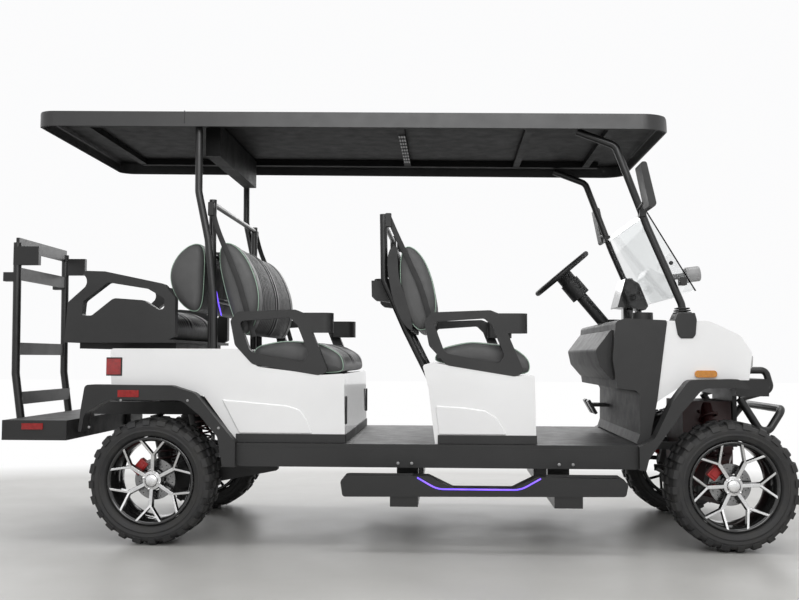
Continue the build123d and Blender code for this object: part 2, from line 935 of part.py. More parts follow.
# ---- roof and posts -----------------------------------------------------------------------
def roof():
    """Thin moulded canopy with a turned-down rim and a shallow crown."""
    front, rear, half = ROOF_FRONT, ROOF_REAR, ROOF_HALF_WIDTH
    drop = ROOF_EDGE_HEIGHT
    body = side_plate(
        [
            (rear, roof_z(rear) - drop, 12),
            (rear + 6, roof_z(rear), 20),
            (front - 12, roof_z(front), 20),
            (front, roof_z(front) - drop, 12),
        ],
        (-half, half),
    )
    corners = top_plate(
        [(rear - 1, -half, 90), (front + 1, -half, 130), (front + 1, half, 130), (rear - 1, half, 90)],
        (1700, 2100),
    )
    inside = side_plate(
        [
            (rear + 14, roof_z(rear) - drop - 60, 0),
            (rear + 20, roof_z(rear) - 10, 20),
            (front - 24, roof_z(front) - 10, 20),
            (front - 14, roof_z(front) - drop - 60, 0),
        ],
        (14 - half, half - 14),
    )
    hollow = top_plate(
        [(rear + 13, 14 - half, 78), (front - 13, 14 - half, 118), (front - 13, half - 14, 118), (rear + 13, half - 14, 78)],
        (1700, 2100),
    )
    return (body & corners) - (inside & hollow)


def roof_frame():
    """Rails under the canopy, with cross bars at the posts, and the console box."""
    y = 470
    z_rear, z_front = roof_z(-400) - 10, roof_z(2100) - 10
    rail = side_plate(
        [(-400, z_rear - 30, 0), (-400, z_rear, 0), (2150, z_front, 0), (2150, z_front - 30, 0)],
        (-y - 20, 20 - y),
    )
    shapes = pair(rail)
    for x in (-390, 178, 1100, 1700, 2080):
        shapes.append(block((x - 18, x + 18), (-y, y), (roof_z(x) - 38, roof_z(x) - 10.5)))
    console = block((185, 253), (-440, 440), (1776, roof_z(253) - 20))
    shapes.append(console)
    return joined(shapes)


def rear_roof_posts():
    """Tall bent posts from the rear deck to the roof rails."""
    post = tube(
        [(262, 0, 800), (256, 0, 1090), (227, 0, 1370), (180, 0, 1590), (178, 0, 1905)],
        POST_RADIUS,
        120,
    )
    shapes = pair(Pos(0, -REAR_POST_Y, 0) * post)
    return shapes


SCREEN_FOOT = (2388, 1040)
SCREEN_BEND = (2330, 1190)
SCREEN_HEAD = (2090, 1790)


def windshield_posts():
    """Raked posts from the boots on the cowl to the front roof rails."""
    foot = (SCREEN_FOOT[0], 0, SCREEN_FOOT[1] - 50)
    path = [foot, (2372, 0, 1080), (2225, 0, 1425), (2085, 0, 1800), (1911, 0, roof_z(1911) - 56)]
    post = tube(path, POST_RADIUS, 50)
    boot = side_plate(
        [(2325, 1004, 5), (2339, 1035, 8), (2412, 1035, 8), (2420, 1004, 5), (2408, 936, 30), (2372, 916, 20), (2333, 959, 20)],
        (-36, 36),
    )
    return pair(Pos(0, -SCREEN_POST_Y, 0) * (post + boot))


PANE_HALF_WIDTH = SCREEN_POST_Y - POST_RADIUS - FIT


def windshield():
    """Clear pane between the posts, its top half folded down in front."""
    lower = side_plate(
        [(2200.5, 1484, 0), (2205.5, 1484, 0), (2360.5, 1112, 0), (2355.5, 1112, 0)],
        (-PANE_HALF_WIDTH, PANE_HALF_WIDTH),
    )
    upper = side_plate(
        [(2222, 1500, 0), (2228, 1502, 0), (2444, 1140, 0), (2438, 1137, 0)],
        (-PANE_HALF_WIDTH, PANE_HALF_WIDTH),
    )
    hinge = side_plate([(2196, 1480, 0), (2222, 1508, 0), (2232, 1492, 0), (2208, 1470, 0)], (-440, 440))
    return joined([lower, upper, hinge])


def mirrors():
    housing = side_plate(
        [(2150, 1680, 12), (2178, 1684, 12), (2222, 1490, 20), (2190, 1478, 12)],
        (-720, -600),
    )
    arm = rod((2185, -610, 1520), (2185, -SCREEN_POST_Y - 8, 1510), 7)
    return pair(housing + arm)


# ---- steering and controls ----------------------------------------------------------------
def steering_axis():
    """Plane through the steering wheel, its normal along the column up to the driver."""
    tilt = math.radians(STEERING_COLUMN_TILT)
    return Plane(origin=STEERING_WHEEL_CENTRE, x_dir=(0, 1, 0), z_dir=(-math.cos(tilt), 0, math.sin(tilt)))


def steering_wheel():
    seat = steering_axis()
    ring = Torus(STEERING_WHEEL_RADIUS - 14, 14)
    hub = Pos(0, 0, -30) * Cylinder(44, 56)
    shapes = [ring, hub]
    for angle in (0, 180, 270):
        arm = Rot(0, 0, angle) * Pos(95, 0, -8) * Box(140, 34, 12)
        shapes.append(arm)
    return seat * joined(shapes)


def steering_column():
    seat = steering_axis()
    head = Pos(0, 0, -58.3 - 50) * Cylinder(52, 100)
    stalk = Pos(70, 0, -110) * Rot(0, 90, 0) * Cylinder(7, 90)
    column = Pos(0, 0, -250) * Cylinder(30, 190)
    return seat * joined([head, column, stalk])


def instrument_screen():
    glass = side_plate([(2200, 1095, 4), (2186, 1090, 4), (2228, 1240, 6), (2244, 1246, 6)], (90, 310))
    back = side_plate([(2201, 1095, 4), (2245, 1246, 6), (2300, 1215, 20), (2345, 1100, 10), (2330, 1080, 4)], (100, 300))
    stem = block((2230, 2280), (170, 230), (DASH_TOP - 8, 1100))
    return joined([glass, back, stem])


def pedals():
    shapes = []
    for x, y in ((2090, 260), (2090, 380)):
        pad = side_plate([(x, 540, 4), (x - 40, 610, 4), (x - 26, 618, 4), (x + 14, 548, 4)], (y - 35, y + 35))
        stem = block((x - 10, 2176), (y - 8, y + 8), (580, 596))
        shapes.append(pad + stem)
    return shapes


# ---- front and rear fittings --------------------------------------------------------------
def front_bumper():
    front = WHEELBASE + FRONT_OVERHANG
    upper = tube(
        [(2640, -330, 780), (2790, -330, 780), (2815, -330, 690), (2670, -330, 650)],
        16,
        30,
    )
    guard = tube(
        [(2670, -330, 650), (2780, -330, 470), (front - 18, -300, 600), (front - 18, 300, 600), (2780, 330, 470), (2670, 330, 650)],
        18,
        40,
    )
    beam = block((2650, 2800), (-346, 346), (660, 740))
    mount = block((NOSE_RAIL_FRONT, NOSE_RAIL_FRONT + 20), (-NOSE_RAIL_Y - 15, NOSE_RAIL_Y + 15), (RAIL_TOP - 20, 665))
    return joined(pair(upper) + [guard, beam, mount])


def headlamps():
    lamp = side_plate([(2640, 850, 6), (2672, 850, 12), (2668, 790, 12), (2636, 790, 6)], (-540, -380))
    return pair(lamp)


def tail_lamps():
    lamp = block((-216, -150), (-BODY_HALF_WIDTH - 4, -BODY_HALF_WIDTH + 100), (753, 824))
    return pair(lamp)


def side_markers():
    marker = side_plate([(2407, 750, 14), (2407, 781, 14), (2503, 781, 14), (2503, 750, 14)], (-BODY_HALF_WIDTH + 8, -BODY_HALF_WIDTH + 30))
    return pair(marker)


def reflectors():
    fender = block((-142, -47), (-FENDER_OUTER_Y - 4, -FENDER_OUTER_Y + 10), (654, 685))
    step = block((-611, -513), (-566, -550), (502, 530))
    return pair(fender) + pair(step)


STEP_BACK_X = -704


def rear_step():
    """Foot platform behind the rear-facing seat, on two arms from the frame."""
    deck = block((STEP_BACK_X, -405), (-560, 560), (453, 543))
    arm = block((-410, -380), (-RAIL_Y - 25, -RAIL_Y + 25), (470, 600))
    return joined([deck] + pair(arm))


GRAB_Y = 300


def grab_frame():
    """Upright hoop at the back of the rear step, with rungs to hold."""
    post = tube([(-729, -GRAB_Y, 520), (-762, -GRAB_Y, 750), (-768, -GRAB_Y, 1385), ], 19, 60)
    shapes = pair(post)
    for x, z in ((-768, 1380), (-767, 1235), (-767, 870), (-735, 632)):
        shapes.append(block((x - 8, x + 8), (-GRAB_Y, GRAB_Y), (z - 30, z + 30)))
    shapes.extend(pair(block((-720, STEP_BACK_X), (-GRAB_Y - 30, -GRAB_Y + 30), (470, 540))))
    shapes.extend(pair(block((-780, -655), (-GRAB_Y - 19, -GRAB_Y + 10), (1275, 1365))))
    shapes.extend(pair(block((-REAR_OVERHANG, -768), (-GRAB_Y - 19, -GRAB_Y + 19), (1196, 1240))))
    return joined(shapes)


def battery_block():
    return block((440, 840), (-270, 270), (FLOOR_TOP, 720))


# Each first piece has a pocket, notch or hole of the second one's shape, in which that one sits.
POCKETS = (
    ("back_shell", "front_seat_frame"),
    ("dashboard", "chassis_frame"),
    ("dashboard", "cross_members"),
    ("dashboard", "floor_deck"),
    ("dashboard", "front_fenders"),
    ("dashboard", "pedals"),
    ("dashboard", "steering_column"),
    ("dashboard", "instrument_screen"),
    ("front_fenders", "chassis_frame"),
    ("front_fenders", "cross_members"),
    ("floor_deck", "front_fenders"),
    ("front_suspension", "chassis_frame"),
    ("front_suspension", "cross_members"),
    ("rear_axle", "chassis_frame"),
    ("rear_axle", "cross_members"),
    ("rear_step", "chassis_frame"),
    ("rear_step", "cross_members"),
    ("side_steps", "chassis_frame"),
    ("side_steps", "cross_members"),
    ("sills", "chassis_frame"),
    ("sills", "cross_members"),
    ("front_seat_pod", "front_armrests"),
    ("front_seat_pod", "front_seat_frame"),
    ("rear_body", "middle_armrests"),
    ("rear_body", "rear_fenders"),
    ("rear_body", "rear_roof_posts"),
    ("rear_body", "tail_lamps"),
    ("front_cowl", "headlamps"),
    ("front_cowl", "side_markers"),
    ("front_cowl", "windshield_posts"),
    ("front_cowl", "front_fenders"),
    ("front_cowl", "front_bumper"),
    ("front_tyre_right", "front_rim_right"),
    ("front_tyre_left", "front_rim_left"),
    ("rear_tyre_right", "rear_rim_right"),
    ("rear_tyre_left", "rear_rim_left"),
    ("mirrors", "windshield_posts"),
    ("rear_fenders", "reflectors"),
    ("rear_step", "reflectors"),
    ("roof_frame", "roof"),
)


def cut(shape, tool):
    """Solids of one piece less the solids of another."""
    solids = shape if isinstance(shape, list) else [shape]
    tools = tool if isinstance(tool, list) else [tool]
    for other in tools:
        solids = [solid - other for solid in solids]
    return solids


def subparts():
    shapes = {
        "chassis_frame": chassis_frame(),
        "cross_members": cross_members(),
        "floor_deck": floor_deck(),
        "sills": sills(),
        "side_steps": side_steps(),
        "front_fenders": front_fenders(),
        "rear_fenders": rear_fenders(),
        "front_cowl": front_cowl(),
        "dashboard": dashboard(),
        "instrument_screen": instrument_screen(),
        "steering_column": steering_column(),
        "steering_wheel": steering_wheel(),
        "pedals": pedals(),
        "front_bumper": front_bumper(),
        "headlamps": headlamps(),
        "tail_lamps": tail_lamps(),
        "side_markers": side_markers(),
        "reflectors": reflectors(),
        "front_seat_pod": front_seat_pod(),
        "rear_body": rear_body(),
        "front_seat_frame": front_seat_frame(),
        "rear_seat_frame": rear_seat_frame(),
        "front_cushion": front_cushion(),
        "middle_cushion": middle_cushion(),
        "rear_cushion": rear_cushion(),
        "front_back": front_back(),
        "middle_back": middle_back(),
        "rear_back": rear_back(),
        "back_shell": back_shell(),
        "rear_seat_tray": rear_seat_tray(),
        "rear_step": rear_step(),
        "grab_frame": grab_frame(),
        "roof": roof(),
        "roof_frame": roof_frame(),
        "rear_roof_posts": rear_roof_posts(),
        "windshield_posts": windshield_posts(),
        "windshield": windshield(),
        "mirrors": mirrors(),
        "battery_block": battery_block(),
        "rear_axle": rear_axle(),
        "front_suspension": front_suspension(),
        "tie_rods": tie_rods(),
    }
    right = knuckle(FRONT_TRACK / 2)
    shapes["knuckle_right"] = right
    shapes["knuckle_left"] = mirror(right, about=Plane.XZ)
    for name, (station, top) in ARMREST_ROWS.items():
        shapes[name] = armrests(station, top)
    shapes.update(wheels())
    for node, seated in POCKETS:
        shapes[node] = cut(shapes[node], shapes[seated])
    return shapes


os.makedirs("parts", exist_ok=True)
for node, shape in subparts().items():
    solids = shape if isinstance(shape, list) else [shape]
    placed = Compound([Pos(REAR_AXLE_X, 0, 0) * solid for solid in solids])
    export_step(placed, f"parts/{node}.step")
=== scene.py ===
import math

import bmesh
import bpy
import numpy as np
from mathutils import Matrix, Vector


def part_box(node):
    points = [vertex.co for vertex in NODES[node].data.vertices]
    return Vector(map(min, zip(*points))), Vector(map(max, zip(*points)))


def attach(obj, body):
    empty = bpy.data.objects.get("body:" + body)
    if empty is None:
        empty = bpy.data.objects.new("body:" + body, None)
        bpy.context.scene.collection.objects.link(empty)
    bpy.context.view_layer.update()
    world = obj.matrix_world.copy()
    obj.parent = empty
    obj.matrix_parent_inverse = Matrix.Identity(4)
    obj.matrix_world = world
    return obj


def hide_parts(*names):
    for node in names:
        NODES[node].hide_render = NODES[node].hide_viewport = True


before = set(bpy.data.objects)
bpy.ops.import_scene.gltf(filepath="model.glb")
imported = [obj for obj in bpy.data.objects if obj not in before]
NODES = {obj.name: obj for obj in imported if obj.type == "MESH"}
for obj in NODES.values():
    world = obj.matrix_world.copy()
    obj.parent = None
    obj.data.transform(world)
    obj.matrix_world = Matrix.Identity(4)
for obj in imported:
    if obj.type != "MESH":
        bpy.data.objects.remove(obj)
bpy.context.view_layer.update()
SCENE = bpy.context.scene

# Lengths are in metres and places in the shared frame: X forward, Y to the left, Z up.
AXLE_X = {"front": 1.528, "rear": -1.032}
HALF_TRACK = {"front": 0.5325, "rear": 0.5225}
WHEEL_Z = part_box("front_tyre_right")[1][2] / 2
SIDES = {"right": -1, "left": 1}


# ---- shader helpers ----
# Most of a noise texture's values lie between these two.
NOISE_LOW, NOISE_HIGH = 0.3, 0.7
NOISE_ROUGHNESS = 0.55


class Tree:
    """A material's node tree with short ways to add and join nodes."""

    def __init__(self, name):
        self.material = bpy.data.materials.new(name)
        self.material.use_nodes = True
        self.tree = self.material.node_tree
        self.shader = self.tree.nodes["Principled BSDF"]
        self.coords = self.tree.nodes.new("ShaderNodeTexCoord").outputs["Object"]

    def node(self, kind, **values):
        made = self.tree.nodes.new(kind)
        for key, value in values.items():
            if key in made.inputs:
                made.inputs[key].default_value = value
            else:
                setattr(made, key, value)
        return made

    def link(self, output, target):
        self.tree.links.new(output, target)

    def set(self, **values):
        for key, value in values.items():
            self.shader.inputs[key.replace("_", " ")].default_value = value

    def texture(self, kind, output, **values):
        made = self.node(f"ShaderNodeTex{kind}", **values)
        self.link(self.coords, made.inputs["Vector"])
        return made.outputs[output]

    def noise(self, scale, detail=3.0):
        values = {"Scale": scale, "Detail": detail, "Roughness": NOISE_ROUGHNESS}
        return self.texture("Noise", "Fac", **values)

    def cells(self, scale):
        return self.texture("Voronoi", "Distance", Scale=scale, feature="SMOOTH_F1")

    def flutes(self, scale):
        return self.texture("Wave", "Fac", Scale=scale, bands_direction="X")

    def ramp(self, source, dark, light, start=NOISE_LOW, end=NOISE_HIGH):
        """Colour that goes from dark to light while the source goes from start to end."""
        made = self.tree.nodes.new("ShaderNodeValToRGB")
        stops = zip(made.color_ramp.elements, (start, end), (dark, light))
        for element, place, colour in stops:
            element.position = place
            element.color = (*colour, 1.0)
        self.link(source, made.inputs["Fac"])
        return made.outputs["Color"]

    def span(self, source, low, high, start=NOISE_LOW, end=NOISE_HIGH):
        """Value that goes from low to high while the source goes from start to end."""
        values = {"From Min": start, "From Max": end, "To Min": low, "To Max": high}
        made = self.node("ShaderNodeMapRange", **values)
        self.link(source, made.inputs["Value"])
        return made.outputs["Result"]

    def mix(self, factor, first, second):
        """Shader that goes from first to second while the factor goes from 0 to 1."""
        made = self.node("ShaderNodeMixShader")
        for source, target in zip((factor, first, second), made.inputs):
            self.link(source, target)
        return made.outputs[0]

    def bump(self, height, distance, strength=1.0):
        made = self.node("ShaderNodeBump", Strength=strength, Distance=distance)
        self.link(height, made.inputs["Height"])
        self.link(made.outputs["Normal"], self.shader.inputs["Normal"])

    def colour(self, output):
        self.link(output, self.shader.inputs["Base Color"])

    def roughness(self, output):
        self.link(output, self.shader.inputs["Roughness"])


# ---- materials ----
def mottled(name, dark, light, rough, grain, depth, values):
    """Plain surface whose colour, roughness and fine grain all vary a little."""
    t = Tree(name)
    t.colour(t.ramp(t.noise(scale=3, detail=4.0), dark, light))
    t.roughness(t.span(t.noise(scale=15, detail=5.0), *rough))
    t.bump(t.noise(scale=grain, detail=2.0), distance=depth)
    t.set(**values)
    return t.material


def leather(name, dark, light):
    """Grained vinyl: small rounded cells with creases between them, and a soft sheen."""
    t = Tree(name)
    t.colour(t.ramp(t.noise(scale=6, detail=5.0), dark, light, start=0.32, end=0.68))
    t.roughness(t.span(t.noise(scale=40, detail=4.0), low=0.42, high=0.56))
    t.bump(t.cells(scale=520), distance=0.00035, strength=0.8)
    t.set(Sheen_Weight=0.15, Sheen_Roughness=0.4)
    return t.material


def rubber(name, clean, dusty):
    """Tyre rubber with some dust in its dull patches."""
    t = Tree(name)
    dust = t.noise(scale=14, detail=6.0)
    t.colour(t.ramp(dust, clean, dusty, start=0.35, end=0.75))
    t.roughness(t.span(dust, low=0.62, high=0.8))
    t.bump(t.noise(scale=600), distance=0.0003)
    return t.material


def machined(name, level):
    """Bare metal of a given brightness, with a fine grain."""
    t = Tree(name)
    t.colour(t.ramp(t.noise(scale=20, detail=4.0), grey(level - 0.05), grey(level + 0.05)))
    t.roughness(t.span(t.noise(scale=200, detail=2.0), low=0.18, high=0.3))
    t.bump(t.noise(scale=1500, detail=1.0), distance=0.00005)
    t.set(Metallic=1.0)
    return t.material


def lens(name, dark, light, transmission):
    """Moulded lamp lens with fine vertical flutes."""
    t = Tree(name)
    t.colour(t.ramp(t.noise(scale=60), dark, light))
    t.bump(t.flutes(scale=130), distance=0.0006)
    t.roughness(t.span(t.noise(scale=30), low=0.05, high=0.12))
    t.set(Transmission_Weight=transmission, IOR=1.49, Coat_Weight=0.6)
    return t.material


def clear(name, dark, light):
    """Thin clear pane, with a low index so that what is behind it stays in place."""
    t = Tree(name)
    t.colour(t.ramp(t.noise(scale=3), dark, light))
    t.roughness(t.span(t.noise(scale=12, detail=4.0), low=0.01, high=0.035))
    t.set(Transmission_Weight=1.0, IOR=1.10)
    return t.material


def glow(name, dark, light, strength):
    """Light strip whose colour varies a little along its length."""
    t = Tree(name)
    shade = t.ramp(t.noise(scale=8, detail=2.0), dark, light)
    t.colour(shade)
    t.link(shade, t.shader.inputs["Emission Color"])
    t.set(Emission_Strength=strength)
    return t.material


def grey(level):
    return (level, level, level)


LACQUER = {"Coat_Weight": 0.7, "Coat_Roughness": 0.05}
MOTTLED = {
    # finish: dark and light colour, range of roughness, scale and depth of grain, inputs
    "white_panel": (grey(0.79), grey(0.83), (0.10, 0.16), 90, 0.00008, LACQUER),
    "black_moulding": (
        grey(0.014), grey(0.022), (0.44, 0.56), 1400, 0.00025, {"Specular_IOR_Level": 0.4}
    ),
    "roof_moulding": (grey(0.020), grey(0.030), (0.28, 0.38), 1100, 0.0002, {}),
    # near-black colour that is painted shade, for the faces under the roof and for the roof frame
    "roof_underside_painted_shade": (
        grey(0.003), grey(0.006), (0.5, 0.62), 1100, 0.0002, {"Specular_IOR_Level": 0.12}
    ),
    "black_metal": (grey(0.008), grey(0.012), (0.28, 0.38), 1700, 0.0001, {}),
    "frame_metal": (grey(0.012), grey(0.026), (0.42, 0.6), 700, 0.0003, {}),
    "red_metal": ((0.026, 0.005, 0.005), (0.045, 0.007, 0.007), (0.35, 0.45), 900, 0.0002, {}),
    "bright_red": ((0.30, 0.010, 0.010), (0.42, 0.016, 0.014), (0.25, 0.35), 700, 0.0001, {}),
    "grey_metal": (grey(0.25), grey(0.31), (0.4, 0.5), 900, 0.0001, {}),
    "glossy_black": (
        grey(0.008), grey(0.014), (0.08, 0.14), 60, 0.00003, {"Coat_Weight": 0.5}
    ),
    "cast_iron": (grey(0.03), grey(0.06), (0.5, 0.65), 500, 0.0006, {"Metallic": 0.4}),
    "battery_case": (grey(0.03), grey(0.05), (0.5, 0.6), 500, 0.0003, {}),
    "webbing": (grey(0.012), grey(0.020), (0.6, 0.75), 900, 0.0004, {}),
}
LEATHERS = {
    # finish: dark and light colour
    "charcoal_leather": (grey(0.020), grey(0.029)),
    "grey_leather": (grey(0.060), grey(0.078)),
    "piping": ((0.30, 0.44, 0.34), (0.42, 0.58, 0.46)),
}
BARE_METALS = {
    # finish: brightness
    "rim_alloy": (0.66,),
    "disc_steel": (0.22,),
    "chrome": (0.80,),
}
LENSES = {
    # finish: dark and light colour, and how much light passes
    "red_lens": ((0.32, 0.004, 0.004), (0.5, 0.01, 0.008), 0.25),
    "amber_lens": ((0.75, 0.27, 0.01), (0.9, 0.36, 0.02), 0.25),
    "lamp_lens": (grey(0.75), grey(0.9), 0.6),
}
MATERIALS = {
    "tyre_rubber": rubber("tyre_rubber", (0.016, 0.016, 0.017), (0.034, 0.033, 0.031)),
    "clear_glass": clear("clear_glass", (0.97, 0.985, 0.985), (0.99, 1.0, 1.0)),
    "violet_light": glow("violet_light", (0.10, 0.06, 0.75), (0.22, 0.10, 0.95), 1.6),
}
TABLES = {mottled: MOTTLED, leather: LEATHERS, machined: BARE_METALS, lens: LENSES}
for kind, rows in TABLES.items():
    for finish, row in rows.items():
        MATERIALS[finish] = kind(finish, *row)


# ---- finishes and edges of the CAD nodes ----
FINISHES = {
    # finish: the CAD nodes that have it
    "white_panel": ["front_cowl", "front_seat_pod", "rear_body"],
    "black_moulding": [
        "floor_deck", "sills", "front_fenders", "rear_fenders", "dashboard", "steering_column",
        "steering_wheel", "back_shell", "rear_seat_tray", "front_armrests", "middle_armrests",
        "rear_step", "mirrors",
    ],
    "black_metal": [
        "side_steps", "pedals", "front_bumper", "front_seat_frame", "rear_seat_frame",
        "grab_frame", "rear_roof_posts", "windshield_posts",
    ],
    "frame_metal": ["chassis_frame", "cross_members", "rear_axle"],
    "red_metal": ["front_suspension"],
    "cast_iron": ["tie_rods", "knuckle_right", "knuckle_left"],
    "battery_case": ["battery_block"],
    "roof_moulding": ["roof"],
    # the roof frame gets the near-black painted shade of the roof's underside
    "roof_underside_painted_shade": ["roof_frame"],
    "clear_glass": ["windshield"],
    "glossy_black": ["instrument_screen"],
    "lamp_lens": ["headlamps"],
    "red_lens": ["tail_lamps", "reflectors"],
    "amber_lens": ["side_markers"],
    "tyre_rubber": [name for name in NODES if "_tyre_" in name],
    "rim_alloy": [name for name in NODES if "_rim_" in name],
    "charcoal_leather": [name for name in NODES if name.endswith(("_cushion", "_back"))],
}
for finish, names in FINISHES.items():
    for name in names:
        NODES[name].data.materials.clear()
        NODES[name].data.materials.append(MATERIALS[finish])


def paint_underside_shade(node, finish):
    """Give the faces of a CAD node that look down a darker finish of their own, which is painted
    shade under it.
    """
    mesh = NODES[node].data
    mesh.materials.append(MATERIALS[finish])
    for face in mesh.polygons:
        face.material_index = 1 if face.normal.z < -0.5 else 0


# painted shade: the roof's downward faces get a darker colour than its other faces
paint_underside_shade("roof", "roof_underside_painted_shade")

SOFT_EDGES = {
    # width of the rounding: CAD nodes whose moulded edges have it
    0.003: ["tail_lamps", "grab_frame"],
    0.004: ["sills"],
    0.005: ["front_fenders", "rear_fenders", "rear_step", "steering_column"],
    0.006: ["side_steps", "mirrors"],
    0.007: ["front_armrests", "middle_armrests"],
    0.008: ["rear_seat_tray", "dashboard"],
    0.010: ["front_seat_pod", "rear_body"],
    0.012: ["front_cowl"],
}
FLAT_ANGLE = math.radians(0.5)
MOULDED_ANGLE = math.radians(35)
PIECE_ANGLE = math.radians(30)


def round_edges(made, width, segments, angle):
    """Round the edges of an object at which it turns by more than an angle."""
    edge = made.modifiers.new("edge", "BEVEL")
    edge.width = width
    edge.segments = segments
    edge.limit_method = "ANGLE"
    edge.angle_limit = angle
    edge.harden_normals = True


def soften_edges():
    """Round the moulded edges of CAD nodes with modifiers, which leave the meshes as they are."""
    for width, names in SOFT_EDGES.items():
        for name in names:
            merge = NODES[name].modifiers.new("faces", "DECIMATE")
            merge.decimate_type = "DISSOLVE"
            merge.angle_limit = FLAT_ANGLE
            round_edges(NODES[name], width, 3, MOULDED_ANGLE)


soften_edges()


# ---- mesh helpers ----
def seated(made, finish, body="chassis"):
    """Put a new object into the scene with its finish and on its body."""
    made.data.materials.append(MATERIALS[finish])
    SCENE.collection.objects.link(made)
    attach(made, body)
    return made


def piece(name, verts, faces, finish, body="chassis", smooth=False, bevel=0.0):
    """A mesh object that rides on a body."""
    mesh = bpy.data.meshes.new(name)
    mesh.from_pydata([tuple(v) for v in verts], [], faces)
    mesh.validate()
    form = bmesh.new()
    form.from_mesh(mesh)
    bmesh.ops.recalc_face_normals(form, faces=form.faces)
    form.to_mesh(mesh)
    form.free()
    if smooth:
        mesh.shade_smooth()
    made = bpy.data.objects.new(name, mesh)
    if bevel:
        round_edges(made, bevel, 2, PIECE_ANGLE)
    return seated(made, finish, body)


def prism(outline, low, high, axis):
    """Corners and faces of an outline carried along one axis from low to high."""
    count = len(outline)
    verts = []
    for level in (low, high):
        for a, b in outline:
            verts.append({"x": (level, a, b), "y": (a, level, b), "z": (a, b, level)}[axis])
    faces = [tuple(range(count)), tuple(range(2 * count - 1, count - 1, -1))]
    faces += [(i, (i + 1) % count, count + (i + 1) % count, count + i) for i in range(count)]
    return verts, faces


def on_side(sign, low, high):
    """Low and high Y, on one side of the cart, of a span given for the left side."""
    return sorted((sign * low, sign * high))


def polar(radius, angle):
    return radius * math.cos(angle), radius * math.sin(angle)


class Shape:
    """Collects several closed forms into one mesh."""

    def __init__(self):
        self.verts = []
        self.faces = []

    def add(self, verts, faces, move=None):
        start = len(self.verts)
        for vert in verts:
            vert = Vector(vert)
            self.verts.append(move @ vert if move else vert)
        self.faces += [tuple(start + i for i in face) for face in faces]

    def prism(self, outline, low, high, axis, move=None):
        self.add(*prism(outline, low, high, axis), move)

    def box(self, low, high, move=None):
        corners = [(low[0], low[1]), (high[0], low[1]), (high[0], high[1]), (low[0], high[1])]
        self.prism(corners, low[2], high[2], "z", move)

    def side_boxes(self, x, y, z):
        """One box on each side of the cart, from its spans on the left side."""
        for sign in SIDES.values():
            low, high = on_side(sign, *y)
            self.box((x[0], low, z[0]), (x[1], high, z[1]))

    def lathe(self, rows, move, count=24):
        """Turned form from rows of (radius, height) along the local Z axis."""
        turns = [2 * math.pi * i / count for i in range(count)]
        verts = [(*polar(radius, turn), height) for radius, height in rows for turn in turns]
        faces = []
        for row in range(0, (len(rows) - 1) * count, count):
            for i in range(count):
                j = (i + 1) % count
                faces.append((row + i, row + j, row + count + j, row + count + i))
        faces.append(tuple(range(count))[::-1])
        faces.append(tuple(range((len(rows) - 1) * count, len(rows) * count)))
        self.add(verts, faces, move)

    def ring(self, rows, move, count=72):
        """Turned form of a closed profile of (radius, height), with a hole through its middle."""
        turns = [2 * math.pi * i / count for i in range(count)]
        verts = [(*polar(radius, turn), height) for turn in turns for radius, height in rows]
        faces = []
        size = len(rows)
        for i in range(count):
            j = (i + 1) % count
            for k in range(size):
                n = (k + 1) % size
                faces.append((i * size + k, i * size + n, j * size + n, j * size + k))
        self.add(verts, faces, move)

    def radial_bar(self, inner, outer, width, heights, depth, move):
        """Bar between two points of a wheel's plane, wider at its foot than at its face.

        heights: height of its face at the inner and the outer end.
        """
        run = Vector(outer) - Vector(inner)
        side = Vector((-run.y, run.x)).normalized() * width
        verts = []
        for end, height in ((Vector(inner), heights[0]), (Vector(outer), heights[1])):
            for share, level in ((1.25, height - depth), (0.8, height)):
                for way in (-1, 1):
                    place = end + side * way * share
                    verts.append((place.x, place.y, level))
        faces = [(0, 1, 3, 2), (4, 6, 7, 5), (0, 4, 5, 1)]
        faces += [(2, 3, 7, 6), (0, 2, 6, 4), (1, 5, 7, 3)]
        self.add(verts, faces, move)

    def bolt(self, place, axis, radius, height):
        """Domed bolt head that stands on a face and points along an axis."""
        turn = Vector(axis).to_track_quat("Z", "Y").to_matrix().to_4x4()
        rows = [(radius, 0), (radius, height * 0.6), (radius * 0.7, height)]
        self.lathe(rows, Matrix.Translation(place) @ turn, 10)

    def make(self, name, finish, **options):
        return piece(name, self.verts, self.faces, finish, **options)


def tube(name, points, radius, finish, closed=False, flat=0.0):
    """A round strip along points, or a flat one of a given width, as a curve."""
    curve = bpy.data.curves.new(name, "CURVE")
    curve.dimensions = "3D"
    curve.extrude = flat / 2
    curve.bevel_depth = radius
    curve.bevel_resolution = 1
    curve.use_fill_caps = True
    spline = curve.splines.new("POLY")
    spline.points.add(len(points) - 1)
    for point, place in zip(spline.points, points):
        point.co = (*place, 1)
    spline.use_cyclic_u = closed
    seated(bpy.data.objects.new(name, curve), finish)


def rounded(points, radius, steps=5):
    """Points of a run with its corners rounded."""
    points = [Vector(p) for p in points]
    result = [points[0]]
    for before, corner, after in zip(points, points[1:], points[2:]):
        back = (before - corner).normalized()
        ahead = (after - corner).normalized()
        reach = min(radius, (before - corner).length / 2, (after - corner).length / 2)
        first, last = corner + back * reach, corner + ahead * reach
        for step in range(steps + 1):
            t = step / steps
            result.append(first * (1 - t) ** 2 + corner * 2 * t * (1 - t) + last * t**2)
    result.append(points[-1])
    return result


# ---- padded seats ----
# Grid of a pad: points around its side outline, outlines across it, rings that close an end.
ROUND = 84
STATIONS = 88
CAP_RINGS = 7
END_CROWDING = 0.35  # share of the outlines' spacing that follows a cosine, closer at the ends

SHRINK = 0.006  # gap between the pad before it swells and the box of its CAD solid
EDGE_RADIUS = 0.034
EDGE_INSET = 0.8  # how far the end outlines draw in, as a share of the edge radius
END_BULGE = 0.004
PUFF = 0.024  # most that a point moves when the pad swells
SWELL_FRAMES = 20

